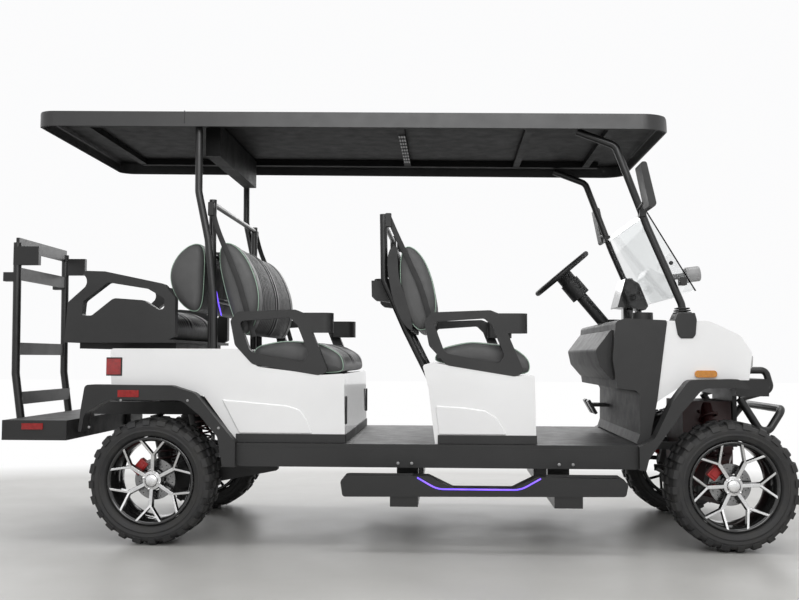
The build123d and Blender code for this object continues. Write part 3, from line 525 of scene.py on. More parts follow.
BOLSTER = 0.105  # plain part at each end, outside the channels
INNER_SEAM = 0.055  # distance of the two inner seams from the middle one
RIB_PITCH, RIB_DEPTH = 0.040, 0.0055
CHANNEL_SINK, CHANNEL_FADE = 0.004, 0.012
SEAM_DEPTH, SEAM_WIDTH = 0.006, 0.006
MIDDLE_DEPTH, MIDDLE_WIDTH = 0.016, 0.009
PIPING_RADIUS = 0.0028

KINDS = {
    # kind: smoothing of its corners in points, height up to which its underside stays flat
    "seat": (2, 0.30),
    "back": (5, 0.15),
}
PADS = {
    # pad: kind, and direction in X and Z of the side that is sat on or leant on
    "front_cushion": ("seat", (0.25, 0.97)),
    "middle_cushion": ("seat", (0.25, 0.97)),
    "rear_cushion": ("seat", (0.25, 0.97)),
    "front_back": ("back", (0.98, 0.2)),
    "middle_back": ("back", (0.98, 0.2)),
    "rear_back": ("back", (-0.98, 0.2)),
}


def end_outline(node):
    """Side view outline of a CAD pad, read from the face at its right-hand end."""
    mesh = NODES[node].data
    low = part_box(node)[0][1]
    ahead = {}
    for face in mesh.polygons:
        corners = list(face.vertices)
        if all(abs(mesh.vertices[i].co.y - low) < 1e-4 for i in corners):
            for a, b in zip(corners, corners[1:] + corners[:1]):
                if not ahead.pop((b, a), False):
                    ahead[(a, b)] = True
    follow = dict(ahead.keys())
    start = next(iter(follow))
    loop, at = [start], follow[start]
    while at != start and len(loop) < len(follow):
        loop.append(at)
        at = follow[at]
    return np.array([(mesh.vertices[i].co.x, mesh.vertices[i].co.z) for i in loop])


def resample(loop, count):
    """Points at even steps along a closed outline."""
    closed = np.vstack([loop, loop[:1]])
    steps = np.hypot(*np.diff(closed, axis=0).T)
    along = np.concatenate([[0], np.cumsum(steps)])
    wanted = np.linspace(0, along[-1], count, endpoint=False)
    return np.stack([np.interp(wanted, along, closed[:, k]) for k in (0, 1)], axis=1)


def softened(loop, width):
    """Outline with its corners eased, stretched back to the box that it filled."""
    steps = np.arange(-3 * width, 3 * width + 1)
    weights = np.exp(-((steps / width) ** 2) / 2)
    weights /= weights.sum()
    eased = sum(weight * np.roll(loop, step, 0) for weight, step in zip(weights, steps))
    low, high = loop.min(0), loop.max(0)
    soft_low, soft_high = eased.min(0), eased.max(0)
    return low + (eased - soft_low) * (high - low) / (soft_high - soft_low)


def outward(loop):
    """Unit normals of a closed outline, pointing out of it."""
    ahead = np.roll(loop, -1, 0) - np.roll(loop, 1, 0)
    normals = np.stack([ahead[:, 1], -ahead[:, 0]], axis=1)
    normals /= np.linalg.norm(normals, axis=1)[:, None]
    area = np.sum(loop[:, 0] * np.roll(loop[:, 1], -1) - np.roll(loop[:, 0], -1) * loop[:, 1])
    return normals if area > 0 else -normals


def pad_mesh(loop, normals, half):
    """Closed pad with rounded ends, as a grid of outlines across it, and their Y places."""
    crowded = -half * np.cos(np.linspace(0, math.pi, STATIONS))
    even = np.linspace(-half, half, STATIONS)
    ys = crowded * END_CROWDING + even * (1 - END_CROWDING)
    verts = []
    for y in ys:
        t = max(0.0, (abs(y) - (half - EDGE_RADIUS)) / EDGE_RADIUS)
        inset = SHRINK + EDGE_RADIUS * EDGE_INSET * (1 - math.sqrt(max(0.0, 1 - t * t)))
        verts += [(x, y, z) for x, z in loop - normals * inset]
    faces = []
    for low in range(0, (STATIONS - 1) * ROUND, ROUND):
        for i in range(ROUND):
            j = (i + 1) % ROUND
            faces.append((low + i, low + j, low + ROUND + j, low + ROUND + i))
    middle = loop.mean(axis=0)
    for end, side in ((0, -1), (STATIONS - 1, 1)):
        last = [end * ROUND + i for i in range(ROUND)]
        rim = np.array([(verts[i][0], verts[i][2]) for i in last])
        for ring in range(1, CAP_RINGS + 1):
            scale = 1 - ring / (CAP_RINGS + 1)
            bulge = side * END_BULGE * (1 - scale**2)
            start = len(verts)
            verts += [(x, ys[end] + bulge, z) for x, z in middle + (rim - middle) * scale]
            now = [start + i for i in range(ROUND)]
            for i in range(ROUND):
                j = (i + 1) % ROUND
                faces.append((last[i], last[j], now[j], now[i]))
            last = now
        verts.append((middle[0], ys[end] + side * END_BULGE, middle[1]))
        faces += [(last[i], last[(i + 1) % ROUND], len(verts) - 1) for i in range(ROUND)]
    return verts, faces, ys


def pinned_points(loop, normals, ys, half, flat_height):
    """Points of a pad that the cloth can't move: its seams, its flat underside and its ends."""
    pinned = set(range(STATIONS * ROUND, STATIONS * ROUND + 2 * (CAP_RINGS * ROUND + 1)))
    for seam in (INNER_SEAM, half - BOLSTER, half - EDGE_RADIUS):
        for side in (-1, 1):
            station = int(np.argmin(np.abs(ys - side * seam)))
            pinned.update(range(station * ROUND, (station + 1) * ROUND))
    top = loop[:, 1].min() + flat_height
    flat = [i for i in range(ROUND) if normals[i, 1] < -0.6 and loop[i, 1] < top]
    pinned.update(station * ROUND + i for station in range(STATIONS) for i in flat)
    return sorted(pinned)


def inflate(pad, pinned):
    """Swell a pad with cloth pressure between its pinned points, and keep the result."""
    group = pad.vertex_groups.new(name="pin")
    group.add(pinned, 1.0, "REPLACE")
    rest = np.array([v.co for v in pad.data.vertices])
    cloth = pad.modifiers.new("cloth", "CLOTH")
    setup = cloth.settings
    setup.use_pressure = True
    setup.uniform_pressure_force = 4.0
    setup.vertex_group_mass = "pin"
    setup.tension_stiffness = 25
    setup.compression_stiffness = 25
    setup.bending_stiffness = 2.0
    setup.effector_weights.gravity = 0.0
    cloth.point_cache.frame_start = 1
    cloth.point_cache.frame_end = SWELL_FRAMES
    for frame_number in range(1, SWELL_FRAMES + 1):
        SCENE.frame_set(frame_number)
    view = bpy.context.evaluated_depsgraph_get()
    swollen = pad.evaluated_get(view).to_mesh()
    moved = np.array([v.co for v in swollen.vertices]) - rest
    pad.evaluated_get(view).to_mesh_clear()
    pad.modifiers.remove(cloth)
    SCENE.frame_set(1)
    length = np.linalg.norm(moved, axis=1)
    keep = np.minimum(1.0, PUFF / np.maximum(length, 1e-6))
    pad.data.vertices.foreach_set("co", (rest + moved * keep[:, None]).ravel())
    pad.data.update()


def subdivided(pad):
    """Mesh of a pad after one step of subdivision."""
    smooth = pad.modifiers.new("smooth", "SUBSURF")
    smooth.levels = smooth.render_levels = 1
    view = bpy.context.evaluated_depsgraph_get()
    fine = bpy.data.meshes.new_from_object(pad.evaluated_get(view))
    pad.modifiers.clear()
    fine.name = pad.name
    return fine


def press_seams(mesh, facing, half):
    """Press the sewn channels and seams into the side of a pad that is sat on or leant on."""
    places = np.array([vertex.co for vertex in mesh.vertices])
    normals = np.array([normal.vector for normal in mesh.vertex_normals])
    toward = normals[:, 0] * facing[0] + normals[:, 2] * facing[1]
    toward = np.clip((toward - 0.25) / 0.35, 0, 1)
    toward = toward * toward * (3 - 2 * toward)
    y = np.abs(places[:, 1])
    outer = half - BOLSTER
    inside = np.clip((y - INNER_SEAM) / CHANNEL_FADE, 0, 1)
    inside = inside * np.clip((outer - y) / CHANNEL_FADE, 0, 1)
    channels = np.abs(np.sin(math.pi * (y - INNER_SEAM) / RIB_PITCH)) ** 0.7
    push = inside * (channels - 1) * RIB_DEPTH - inside * CHANNEL_SINK
    for seam in (INNER_SEAM, outer):
        push -= SEAM_DEPTH * np.exp(-(((y - seam) / SEAM_WIDTH) ** 2))
    push -= MIDDLE_DEPTH * np.exp(-((y / MIDDLE_WIDTH) ** 2))
    places += normals * (push * toward)[:, None]
    mesh.vertices.foreach_set("co", places.ravel())
    mesh.update()


def padded_piece(node, kind, facing):
    """Leather pad in place of a CAD pad, with grey ends and a line of piping at each."""
    ease, flat_height = KINDS[kind]
    loop = softened(resample(end_outline(node), ROUND), ease)
    normals = outward(loop)
    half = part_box(node)[1][1] - SHRINK
    verts, faces, ys = pad_mesh(loop, normals, half)
    made = piece(f"{node}_pad", verts, faces, "charcoal_leather", smooth=True)
    inflate(made, pinned_points(loop, normals, ys, half, flat_height))
    made.data = subdivided(made)
    press_seams(made.data, facing, half)
    made.data.materials.clear()
    made.data.materials.append(MATERIALS["charcoal_leather"])
    made.data.materials.append(MATERIALS["grey_leather"])
    edge = half - EDGE_RADIUS * 0.55
    for face in made.data.polygons:
        face.material_index = 1 if abs(face.center.y) > edge else 0
    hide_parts(node)
    line = loop - normals * (SHRINK + 0.004)
    for side, sign in SIDES.items():
        trim = [(x, sign * edge, z) for x, z in line]
        tube(f"{node}_piping_{side}", trim, PIPING_RADIUS, "piping", closed=True)


for node, (kind, facing) in PADS.items():
    padded_piece(node, kind, facing)


# ---- wheels ----
# Profiles are rows of (radius, distance outward from the wheel's middle plane).
TYRE_HALF_PROFILE = [
    (0.197, 0.088), (0.205, 0.101), (0.218, 0.110), (0.2215, 0.1135), (0.2255, 0.1135),
    (0.229, 0.1105), (0.242, 0.1125), (0.255, 0.109), (0.265, 0.100), (0.2685, 0.086),
    (0.2695, 0.040),
]
LUGS = 24
NARROW_LUG = 0.82  # width of every second lug, as a share of the others
TREAD = [
    # outline of a lug in (distance outward, radius), its half width, and its turn in lug
    # pitches: (away from its twin on the other side, along with it)
    (
        [
            (0.048, 0.264), (0.046, 0.2790), (0.090, 0.2785), (0.1085, 0.2705),
            (0.1175, 0.2500), (0.1040, 0.2480), (0.0960, 0.2620),
        ],
        0.019,
        (0.25, 0.0),
    ),
    ([(0.008, 0.264), (0.008, 0.2792), (0.040, 0.2792), (0.040, 0.264)], 0.016, (0.25, 0.5)),
]

BARREL = [
    (0.176, 0.084), (0.186, 0.094), (0.194, 0.096), (0.194, 0.088), (0.184, 0.080),
    (0.184, -0.086), (0.194, -0.090), (0.194, -0.098), (0.178, -0.098), (0.176, -0.090),
]
LIP = [(0.1900, 0.091), (0.1945, 0.091), (0.1948, 0.094), (0.1935, 0.0955), (0.1905, 0.0945)]
HUB = [(0.046, -0.02), (0.046, 0.058), (0.042, 0.066), (0.030, 0.068)]
CAP = [(0.030, 0.066), (0.030, 0.074), (0.026, 0.080), (0.016, 0.0835), (0.004, 0.0845)]
NUT = [(0.0062, 0.062), (0.0062, 0.072), (0.0045, 0.075)]
NUTS = 4
NUT_CIRCLE = 0.0385

SPOKES = 6
SPOKE_TURN = {"front": 3, "rear": 28}  # degrees
FORK_RADIUS = 0.120
FORK_SPREAD = math.radians(17)
SPOKE_ENDS = (0.030, 0.1880)
# Width, heights at the inner and outer end, and depth of a spoke before and after it forks.
STEM = (0.0095, (0.066, 0.074), 0.024)
TINE = (0.0060, (0.0735, 0.0935), 0.022)
TINE_OVERLAP = 0.008

DISC = [(0.050, 0.009), (0.092, 0.009), (0.092, 0.015), (0.050, 0.015)]
DISC_ARMS = 5
DISC_ARM_TURN = 0.3
DISC_ARM = (0.008, (0.014, 0.014), 0.004)
DISC_ARM_ENDS = (0.030, 0.054)
DISC_HOLES = 36
HOLE_CIRCLES = (0.062, 0.071, 0.080)
# black dot in place of each drilled hole: painted shade of the hole, standing on the disc's face
HOLE = [(0.0026, 0.0149), (0.0026, 0.0156)]


def wheel_places():
    """Axle, side, sign of the side and centre of each wheel."""
    for axle, x in AXLE_X.items():
        for side, sign in SIDES.items():
            yield axle, side, sign, Vector((x, sign * HALF_TRACK[axle], WHEEL_Z))


def wheel_frame(centre, sign):
    """Local axes of a wheel: X and Y in its plane, Z outward."""
    axes = Matrix(((1, 0, 0, 0), (0, 0, sign, 0), (0, 1, 0, 0), (0, 0, 0, 1)))
    return Matrix.Translation(centre) @ axes


def tyre_piece(body, tyre, move):
    """Tyre with a rim guard and two rows of lugs on each shoulder."""
    shape = Shape()
    inner_half = [(radius, -out) for radius, out in reversed(TYRE_HALF_PROFILE)]
    shape.ring(TYRE_HALF_PROFILE + inner_half, move)
    for index in range(LUGS):
        share = 1 if index % 2 else NARROW_LUG
        for side in (-1, 1):
            for outline, half, (own, both) in TREAD:
                turn = 2 * math.pi * (index + own * side + both) / LUGS
                rows = [(radius, side * out) for out, radius in outline]
                spin = move @ Matrix.Rotation(turn, 4, "Z")
                shape.prism(rows, -half * share, half * share, "y", spin)
    made = shape.make(f"{tyre}_treaded", "tyre_rubber", body=body, bevel=0.0012)
    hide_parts(tyre)


def spokes(rim, body, sign, turn, move):
    """Forked spokes and hub, machined on the faces that look outward and black elsewhere."""
    shape = Shape()
    inner, outer = SPOKE_ENDS
    for index in range(SPOKES):
        angle = 2 * math.pi * index / SPOKES - turn * sign
        shape.radial_bar(polar(inner, angle), polar(FORK_RADIUS, angle), *STEM, move)
        for way in (-1, 1):
            end = polar(outer, angle + way * FORK_SPREAD)
            shape.radial_bar(polar(FORK_RADIUS - TINE_OVERLAP, angle), end, *TINE, move)
    shape.lathe(HUB, move, 32)
    made = shape.make(f"{rim}_spokes", "rim_alloy", body=body, bevel=0.001)
    made.data.materials.append(MATERIALS["glossy_black"])
    for face in made.data.polygons:
        face.material_index = 0 if face.normal.y * sign > 0.7 else 1


def rim_piece(body, rim, sign, turn, move):
    """Rim of a barrel, lip, spokes and cap, with its drilled brake disc behind, whose holes are
    black dots of painted shade.
    """
    barrel = Shape()
    barrel.ring(BARREL, move)
    made = barrel.make(f"{rim}_barrel", "glossy_black", body=body, smooth=True)
    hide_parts(rim)
    lip = Shape()
    lip.ring(LIP, move)
    lip.make(f"{rim}_lip", "rim_alloy", body=body, smooth=True)
    spokes(rim, body, sign, turn, move)
    cap = Shape()
    cap.lathe(CAP, move, 32)
    for index in range(NUTS):
        place = polar(NUT_CIRCLE, 2 * math.pi * (index + 0.5) / NUTS + turn)
        cap.lathe(NUT, move @ Matrix.Translation((*place, 0)), 6)
    cap.make(f"{rim}_cap", "chrome", body=body, smooth=True)
    disc = Shape()
    disc.ring(DISC, move, 48)
    inner, outer = DISC_ARM_ENDS
    for index in range(DISC_ARMS):
        angle = 2 * math.pi * index / DISC_ARMS + DISC_ARM_TURN
        disc.radial_bar(polar(inner, angle), polar(outer, angle), *DISC_ARM, move)
    disc.make(f"{rim}_disc", "disc_steel", body=body)
    # the drilled holes as black dots of painted shade
    hole_shades = Shape()
    for index in range(DISC_HOLES):
        radius = HOLE_CIRCLES[index % len(HOLE_CIRCLES)]
        place = polar(radius, 2 * math.pi * index / DISC_HOLES)
        hole_shades.lathe(HOLE, move @ Matrix.Translation((*place, 0)), 8)
    hole_shades.make(f"{rim}_disc_hole_shades", "black_metal", body=body)


for axle, side, sign, centre in wheel_places():
    body, move = f"{axle}_wheel_{side}", wheel_frame(centre, sign)
    tyre_piece(body, f"{axle}_tyre_{side}", move)
    rim_piece(body, f"{axle}_rim_{side}", sign, math.radians(SPOKE_TURN[axle]), move)


# ---- small parts of the chassis and body ----
GRAB_BOLTS = ((-1.807, 1.366), (-1.807, 1.235), (-1.804, 0.867), (-1.774, 0.630))  # X and Z
FENDER_BOLTS = ((-1.30, 0.52), (-1.16, 0.64), (-0.86, 0.64), (-0.72, 0.52))
STEP_BOLTS_X = (0.073, 0.133, 0.773, 0.833)
BOLTS = [
    # radius, height, direction, and the places that they stand on
    (0.008, 0.005, (-1, 0, 0), [(x, y, z) for x, z in GRAB_BOLTS for y in (-0.255, 0.255)]),
    (0.006, 0.003, (0, -1, 0), [(x, -0.6485, z) for x, z in FENDER_BOLTS]),
    (0.007, 0.004, (0, -1, 0), [(x, -0.640, 0.372) for x in STEP_BOLTS_X]),
]

STEP_LIGHT = ((0.16, 0.322), (0.245, 0.274), (0.60, 0.274), (0.685, 0.322))  # X and Z
STEP_LIGHT_Y, STEP_LIGHT_RADIUS = 0.7365, 0.0035
STEP_PADS_X = ((-0.14, 0.14), (0.71, 1.02))
STEP_RIBS = 6
STEP_RIB_Y = 0.655  # inner edge of the first rib
STEP_RIB_PITCH, STEP_RIB_WIDTH = 0.013, 0.006
STEP_RIB_Z = (0.327, 0.3305)

SLOT_ROWS, SLOT_COLUMNS = 9, 3
SLOT_START = (0.058, -0.30)  # X and Y of the middle of the first slot
SLOT_PITCH = (0.012, 0.075)
SLOT_HALF_SIZE = (0.004, 0.022)
SLOT_Z = (1.8895, 1.8915)

BELTS = {
    # row: X and Z of the belt's run, from its anchor down to the cushion
    "front": ((0.020, 1.475), (0.052, 1.40), (0.165, 1.16), (0.235, 0.925)),
    "middle": ((-0.795, 1.53), (-0.770, 1.43), (-0.665, 1.18), (-0.590, 0.925)),
}
BELT_Y, BELT_BEND = 0.531, 0.05
BELT_WIDTH, BELT_EDGE_RADIUS = 0.022, 0.0012

LATCHES = ((1.168, 1.490), (1.345, 1.180))  # X and Z on the windshield posts
LATCH_Y = (0.468, 0.520)
KNOB = (1.300, 0.4735, 1.265)

SPRINGS = {
    # axle: foot and head on the left side, radius of the coil, turns
    "front": ((1.528, 0.335, 0.300), (1.528, 0.185, 0.585), 0.040, 8),
    "rear": ((-1.032, 0.330, 0.320), (-1.032, 0.330, 0.545), 0.044, 7),
}
SPRING_WIRE = 0.006
POINTS_PER_TURN = 14

CALIPER_ANGLE = math.radians(140)  # from straight ahead, over the top of the disc
CALIPER = [
    # spans away from the axle, outward, and along the disc
    ((0.064, 0.108), (-0.008, 0.032), (-0.034, 0.034)),
    ((0.070, 0.100), (0.032, 0.037), (-0.022, 0.022)),
]

PANEL_FOOT = 0.494
PANEL_Y = (0.584, 0.5955)
PANELS = [
    # X and Z of the raised lower panel of each white body, from the back along its top edge
    [
        (0.236, 0.622), (0.366, 0.614), (0.455, 0.601), (0.507, 0.570), (0.534, 0.527),
        (0.548, PANEL_FOOT), (0.250, PANEL_FOOT),
    ],
    [
        (-0.720, 0.644), (-0.611, 0.635), (-0.422, 0.618), (-0.368, 0.600), (-0.335, 0.555),
        (-0.312, PANEL_FOOT), (-0.640, PANEL_FOOT),
    ],
]

SKIRTS_X = ((0.246, 0.683), (-0.655, -0.163))
SKIRT_Y = (0.570, 0.5925)
SKIRT_Z = (0.4525, 0.492)
FRONT_SKIRT_THICKNESS, FRONT_SKIRT_HALF_WIDTH = 0.012, 0.590

BOOT = [
    (1.293, 1.004), (1.307, 1.035), (1.380, 1.035), (1.388, 1.004), (1.382, 0.938),
    (1.370, 0.922), (1.316, 0.922), (1.304, 0.938),
]
BOOT_Y = (0.450, 0.576)
PLEATS = 3
PLEAT_X = (1.306, 1.378)
PLEAT_Y = (0.462, 0.528)
PLEAT_Z = (1.034, 1.041)
PLEAT_STEP = (0.003, 0.004, 0.010)  # how far each next one draws in, in X and Y, and rises

DASH_CUPS = (1.181, 0.420)  # X and Y
DASH_CUP_RING = [(0.038, 1.006), (0.038, 1.042), (0.046, 1.042), (0.047, 1.006)]

SIDE_BOXES = {
    # piece: finish, rounding of its edges, and spans of its boxes in X, Y on the left and Z
    "roof_joint": ("glossy_black", 0.0, [((-0.908, -0.904), (0.601, 0.604), (1.893, 1.952))]),
    "belt_anchors": (
        "black_moulding",
        0.004,
        [
            ((0.006, 0.034), (0.516, 0.540), (1.425, 1.489)),
            ((-0.809, -0.781), (0.516, 0.540), (1.480, 1.544)),
        ],
    ),
    "lamp_bezels": (
        "black_moulding", 0.0015, [((-1.249, -1.176), (0.586, 0.5905), (0.747, 0.830))]
    ),
    "body_latches": (
        "black_moulding", 0.003, [((-0.168, -0.160), (0.545, 0.572), (0.535, 0.660))]
    ),
}

SEAT_LIGHT = ((-0.768, 1.132), (-0.758, 1.080), (-0.743, 1.022))  # X and Z
SEAT_LIGHT_Y, SEAT_LIGHT_RADIUS = 0.522, 0.003

CANISTER = [
    (0.014, 0.0), (0.014, 0.058), (0.034, 0.060), (0.036, 0.064), (0.036, 0.122),
    (0.033, 0.126),
]
CANISTER_FOOT = (1.345, -0.300, 1.215)
CANISTER_TILT = math.radians(82)

BACK_SHELL = [
    # X and Z of its side view
    (0.060, 1.345), (0.032, 1.335), (0.014, 1.280), (0.020, 1.200), (0.042, 1.090),
    (0.080, 1.000), (0.128, 0.952), (0.131, 0.970), (0.108, 1.080), (0.066, 1.190),
    (0.062, 1.280),
]
BACK_SHELL_HALF_WIDTH, BACK_SHELL_POINTS = 0.508, 66
SHELF = [
    (-0.052, 1.104), (-0.068, 1.120), (-0.070, 1.196), (0.030, 1.196), (0.046, 1.150),
    (0.040, 1.092),
]
SHELF_Y, SHELF_HALF_WIDTH = 0.30, 0.052
SHELF_CUP_X = -0.018
SHELF_CUP_RING = [(0.036, 1.190), (0.036, 1.206), (0.041, 1.206), (0.041, 1.190)]


def back_shell():
    """Moulded shell that wraps the back of the front row, with two shelves and their cup rings."""
    outline = softened(resample(np.array(BACK_SHELL), BACK_SHELL_POINTS), 2)
    shell = Shape()
    points = [tuple(p) for p in outline]
    shell.prism(points, -BACK_SHELL_HALF_WIDTH, BACK_SHELL_HALF_WIDTH, "y")
    for sign in SIDES.values():
        y = sign * SHELF_Y
        shell.prism(SHELF, y - SHELF_HALF_WIDTH, y + SHELF_HALF_WIDTH, "y")
        shell.ring(SHELF_CUP_RING, Matrix.Translation((SHELF_CUP_X, y, 0)), 28)
    made = shell.make("back_shell_moulded", "black_moulding", bevel=0.006)
    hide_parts("back_shell")


def bolts():
    shape = Shape()
    for radius, height, axis, places in BOLTS:
        for place in places:
            shape.bolt(place, axis, radius, height)
    shape.make("bolt_heads", "grey_metal", smooth=True)


def step_trim():
    """Light strip along the dropped middle of each side step, and ribs on its pads."""
    for side, sign in SIDES.items():
        led = rounded([(x, sign * STEP_LIGHT_Y, z) for x, z in STEP_LIGHT], 0.03)
        tube(f"step_light_{side}", led, STEP_LIGHT_RADIUS, "violet_light")
        ribs = Shape()
        for x in STEP_PADS_X:
            for index in range(STEP_RIBS):
                start = STEP_RIB_Y + STEP_RIB_PITCH * index
                low, high = on_side(sign, start, start + STEP_RIB_WIDTH)
                ribs.box((x[0], low, STEP_RIB_Z[0]), (x[1], high, STEP_RIB_Z[1]))
        ribs.make(f"step_ribs_{side}", "tyre_rubber")


def side_boxes(name):
    """Piece made of boxes that are the same on both sides."""
    finish, bevel, rows = SIDE_BOXES[name]
    shape = Shape()
    for spans in rows:
        shape.side_boxes(*spans)
    shape.make(name, finish, bevel=bevel)


def roof_slots():
    """Slots in the cross strip under the roof."""
    slots = Shape()
    across, along = SLOT_HALF_SIZE
    for row in range(SLOT_ROWS):
        for column in range(SLOT_COLUMNS):
            x = SLOT_START[0] + SLOT_PITCH[0] * column
            y = SLOT_START[1] + SLOT_PITCH[1] * row
            slots.box((x - across, y - along, SLOT_Z[0]), (x + across, y + along, SLOT_Z[1]))
    slots.make("roof_strip_slots", "grey_metal")


def belts():
    for row, path in BELTS.items():
        for side, sign in SIDES.items():
            points = rounded([(x, sign * BELT_Y, z) for x, z in path], BELT_BEND)
            tube(f"{row}_belt_{side}", points, BELT_EDGE_RADIUS, "webbing", flat=BELT_WIDTH)
    side_boxes("belt_anchors")


def windshield_latches():
    """Latches that hold the folding pane to its posts, with a knob on each side."""
    parts = Shape()
    for sign in SIDES.values():
        low, high = on_side(sign, *LATCH_Y)
        for x, z in LATCHES:
            parts.box((x - 0.014, low, z - 0.018), (x + 0.016, high, z + 0.018))
        parts.bolt((KNOB[0], sign * KNOB[1], KNOB[2]), (0, sign, 0), 0.010, 0.012)
    parts.make("windshield_latches", "black_moulding", bevel=0.004)


def coil(foot, head, radius, turns):
    """Points of a coil between two places."""
    turn = (head - foot).to_track_quat("Z", "Y").to_matrix()
    steps = turns * POINTS_PER_TURN
    points = []
    for step in range(steps + 1):
        across = Vector((*polar(radius, 2 * math.pi * turns * step / steps), 0))
        points.append(foot + (head - foot) * step / steps + turn @ across)
    return points


def springs():
    for side, sign in SIDES.items():
        mirror = Vector((1, sign, 1))
        for axle, (foot, head, radius, turns) in SPRINGS.items():
            points = coil(Vector(foot) * mirror, Vector(head) * mirror, radius, turns)
            tube(f"{axle}_spring_{side}", points, SPRING_WIRE, "red_metal")


def calipers():
    """Red brake calipers, behind the spokes at the upper rear of each disc."""
    for axle, side, sign, centre in wheel_places():
        turn = Matrix.Translation(centre) @ Matrix.Rotation(-CALIPER_ANGLE, 4, "Y")
        shape = Shape()
        for away, out, along in CALIPER:
            low, high = on_side(sign, *out)
            shape.box((away[0], low, along[0]), (away[1], high, along[1]), turn)
        carrier = f"knuckle_{side}" if axle == "front" else "chassis"
        shape.make(f"{axle}_caliper_{side}", "bright_red", body=carrier, bevel=0.005)


def body_panels():
    """Raised lower panels on the white sides, whose rounded top edges catch a line of light."""
    shape = Shape()
    for outline in PANELS:
        for sign in SIDES.values():
            shape.prism(outline, *on_side(sign, *PANEL_Y), "y")
    shape.make("side_panels", "white_panel", bevel=0.007)


def base_skirts():
    """Black skirts along the foot of the white bodies, at their sides and front."""
    skirts = Shape()
    for x in SKIRTS_X:
        skirts.side_boxes(x, SKIRT_Y, SKIRT_Z)
        skirts.box(
            (x[1] - FRONT_SKIRT_THICKNESS, -FRONT_SKIRT_HALF_WIDTH, SKIRT_Z[0]),
            (x[1], FRONT_SKIRT_HALF_WIDTH, SKIRT_Z[1]),
        )
    skirts.make("base_skirts", "black_moulding", bevel=0.002)


def post_boots():
    """Pleated boots at the feet of the windshield posts."""
    boots = Shape()
    in_x, in_y, rise = PLEAT_STEP
    for sign in SIDES.values():
        boots.prism(BOOT, *on_side(sign, *BOOT_Y), "y")
        for index in range(PLEATS):
            low, high = on_side(sign, PLEAT_Y[0] + in_y * index, PLEAT_Y[1] - in_y * index)
            boots.box(
                (PLEAT_X[0] + in_x * index, low, PLEAT_Z[0] + rise * index),
                (PLEAT_X[1] - in_x * index, high, PLEAT_Z[1] + rise * index),
            )
    boots.make("post_boots", "black_moulding", bevel=0.0035)


def dash_cup_rings():
    cups = Shape()
    x, y = DASH_CUPS
    for sign in SIDES.values():
        cups.ring(DASH_CUP_RING, Matrix.Translation((x, sign * y, 0)), 36)
    cups.make("dash_cup_rings", "black_moulding", bevel=0.001)


def seat_lights():
    for side, sign in SIDES.items():
        strip = [(x, sign * SEAT_LIGHT_Y, z) for x, z in SEAT_LIGHT]
        tube(f"seat_light_{side}", strip, SEAT_LIGHT_RADIUS, "violet_light")


def pane_canister():
    """Grey canister that stands on the folded pane, on a short neck."""
    tilt = Matrix.Rotation(CANISTER_TILT, 4, "Y")
    can = Shape()
    can.lathe(CANISTER, Matrix.Translation(CANISTER_FOOT) @ tilt, 32)
    can.make("pane_canister", "grey_metal", smooth=True)


back_shell()
bolts()
step_trim()
side_boxes("roof_joint")
roof_slots()
belts()
windshield_latches()
springs()
calipers()
body_panels()
base_skirts()
post_boots()
dash_cup_rings()
side_boxes("lamp_bezels")
side_boxes("body_latches")
seat_lights()
pane_canister()


# ---- floor, light and camera ----
FLOOR_REACH = 30
# Distances from its middle between which the floor fades to white, with its X squeezed.
FADE_START, FADE_END = 2.2, 3.0
FADE_SQUEEZE = (0.6, 1.0, 0.0)
SEEN_WORLD = (0.97, 0.97, 0.975, 1)
FILL_STRENGTH = 0.55
LAMPS = [
    # name, place, point that it faces, width and height, power
    ("top_light", (0.0, 0.0, 4.6), (0, 0, 0), (6.0, 3.5), 185),
    ("front_light", (0.6, -5.5, 3.4), (0, 0, 0.8), (5.0, 2.5), 155),
    ("back_light", (-0.5, 5.5, 3.2), (0, 0, 0.8), (5.0, 2.5), 90),
]
# The camera that sees the cart as the photograph shows it.
CAMERA_PLACE = (0.2881, -4.9746, 0.8326)
CAMERA_TURN = (-0.0486, 0.0585, 0.0034)  # yaw, pitch and roll
FOCAL_LENGTH_PIXELS = 985.0
PHOTO_WIDTH_PIXELS = 799
SENSOR_WIDTH = 36


def studio_floor():
    """Grey concrete floor that fades to plain white away from the cart."""
    mesh = bpy.data.meshes.new("floor")
    corners = [(-1, -1), (1, -1), (1, 1), (-1, 1)]
    verts = [(FLOOR_REACH * x, FLOOR_REACH * y, 0) for x, y in corners]
    mesh.from_pydata(verts, [], [(0, 1, 2, 3)])
    floor = bpy.data.objects.new("floor", mesh)
    SCENE.collection.objects.link(floor)
    t = Tree("floor")
    t.colour(t.ramp(t.noise(scale=1.1, detail=6.0), (0.42, 0.415, 0.40), (0.47, 0.465, 0.45)))
    t.roughness(t.span(t.noise(scale=2.5, detail=5.0), low=0.28, high=0.42))
    squeeze = t.node("ShaderNodeVectorMath", operation="MULTIPLY")
    t.link(t.coords, squeeze.inputs[0])
    squeeze.inputs[1].default_value = FADE_SQUEEZE
    away = t.node("ShaderNodeVectorMath", operation="LENGTH")
    t.link(squeeze.outputs["Vector"], away.inputs[0])
    edge = t.span(away.outputs["Value"], low=0.0, high=1.0, start=FADE_START, end=FADE_END)
    white = t.node("ShaderNodeEmission", Color=(1, 1, 1, 1), Strength=1.0)
    plain = t.node("ShaderNodeBsdfDiffuse", Color=(0.8, 0.8, 0.8, 1))
    path = t.node("ShaderNodeLightPath")
    beyond = t.mix(path.outputs["Is Camera Ray"], plain.outputs[0], white.outputs[0])
    surface = t.mix(edge, t.shader.outputs[0], beyond)
    t.link(surface, t.tree.nodes["Material Output"].inputs["Surface"])
    mesh.materials.append(t.material)


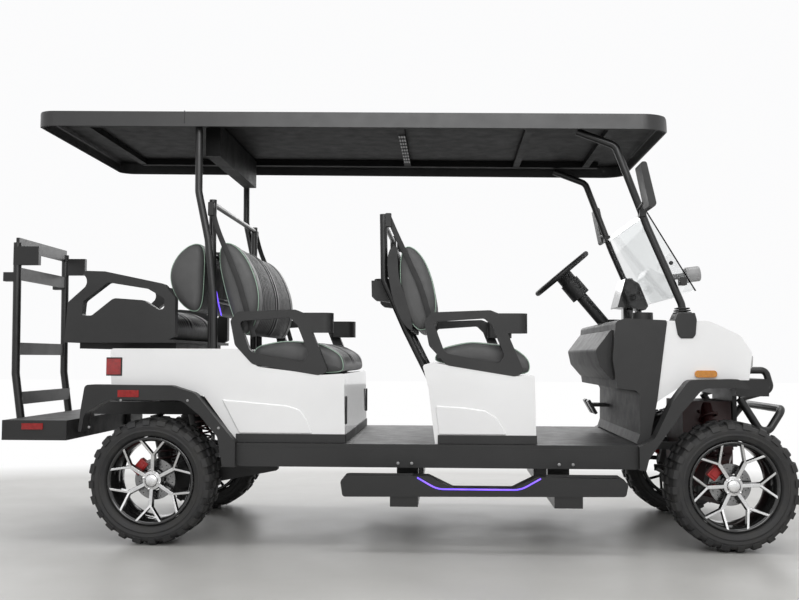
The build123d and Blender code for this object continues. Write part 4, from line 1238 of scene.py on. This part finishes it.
def studio_world():
    """White to the eye, in mirrors and through glass, and a softer fill on everything else."""
    world = bpy.data.worlds.new("studio")
    SCENE.world = world
    world.use_nodes = True
    nodes, link = world.node_tree.nodes, world.node_tree.links.new
    seen = nodes["Background"]
    seen.inputs["Strength"].default_value = 1.0
    seen.inputs["Color"].default_value = SEEN_WORLD
    fill = nodes.new("ShaderNodeBackground")
    fill.inputs["Strength"].default_value = FILL_STRENGTH
    fill.inputs["Color"].default_value = (1, 1, 1, 1)
    path = nodes.new("ShaderNodeLightPath")
    either = path.outputs["Is Camera Ray"]
    for ray in ("Is Transmission Ray", "Is Glossy Ray"):
        larger = nodes.new("ShaderNodeMath")
        larger.operation = "MAXIMUM"
        link(either, larger.inputs[0])
        link(path.outputs[ray], larger.inputs[1])
        either = larger.outputs[0]
    mix = nodes.new("ShaderNodeMixShader")
    link(either, mix.inputs[0])
    link(fill.outputs[0], mix.inputs[1])
    link(seen.outputs[0], mix.inputs[2])
    link(mix.outputs[0], nodes["World Output"].inputs["Surface"])


def studio_lamps():
    for name, place, aim, size, power in LAMPS:
        light = bpy.data.lights.new(name, "AREA")
        light.shape = "RECTANGLE"
        light.size, light.size_y = size
        light.energy = power
        lamp = bpy.data.objects.new(name, light)
        SCENE.collection.objects.link(lamp)
        lamp.location = place
        lamp.rotation_euler = (Vector(aim) - Vector(place)).to_track_quat("-Z", "Y").to_euler()


def photo_camera():
    yaw, pitch, roll = CAMERA_TURN
    level_part, rise = polar(1, pitch)
    ahead = Vector((math.sin(yaw) * level_part, math.cos(yaw) * level_part, rise))
    level = Vector((math.cos(yaw), -math.sin(yaw), 0))
    up = level.cross(ahead)
    right = level * math.cos(roll) + up * math.sin(roll)
    top = up * math.cos(roll) - level * math.sin(roll)
    data = bpy.data.cameras.new("camera")
    data.sensor_width = SENSOR_WIDTH
    data.lens = FOCAL_LENGTH_PIXELS / PHOTO_WIDTH_PIXELS * SENSOR_WIDTH
    camera = bpy.data.objects.new("camera", data)
    SCENE.collection.objects.link(camera)
    turn = Matrix((right, top, -ahead)).transposed()
    camera.matrix_world = Matrix.Translation(CAMERA_PLACE) @ turn.to_4x4()
    SCENE.camera = camera


studio_floor()
studio_world()
studio_lamps()
photo_camera()
SCENE.view_settings.view_transform = "Standard"
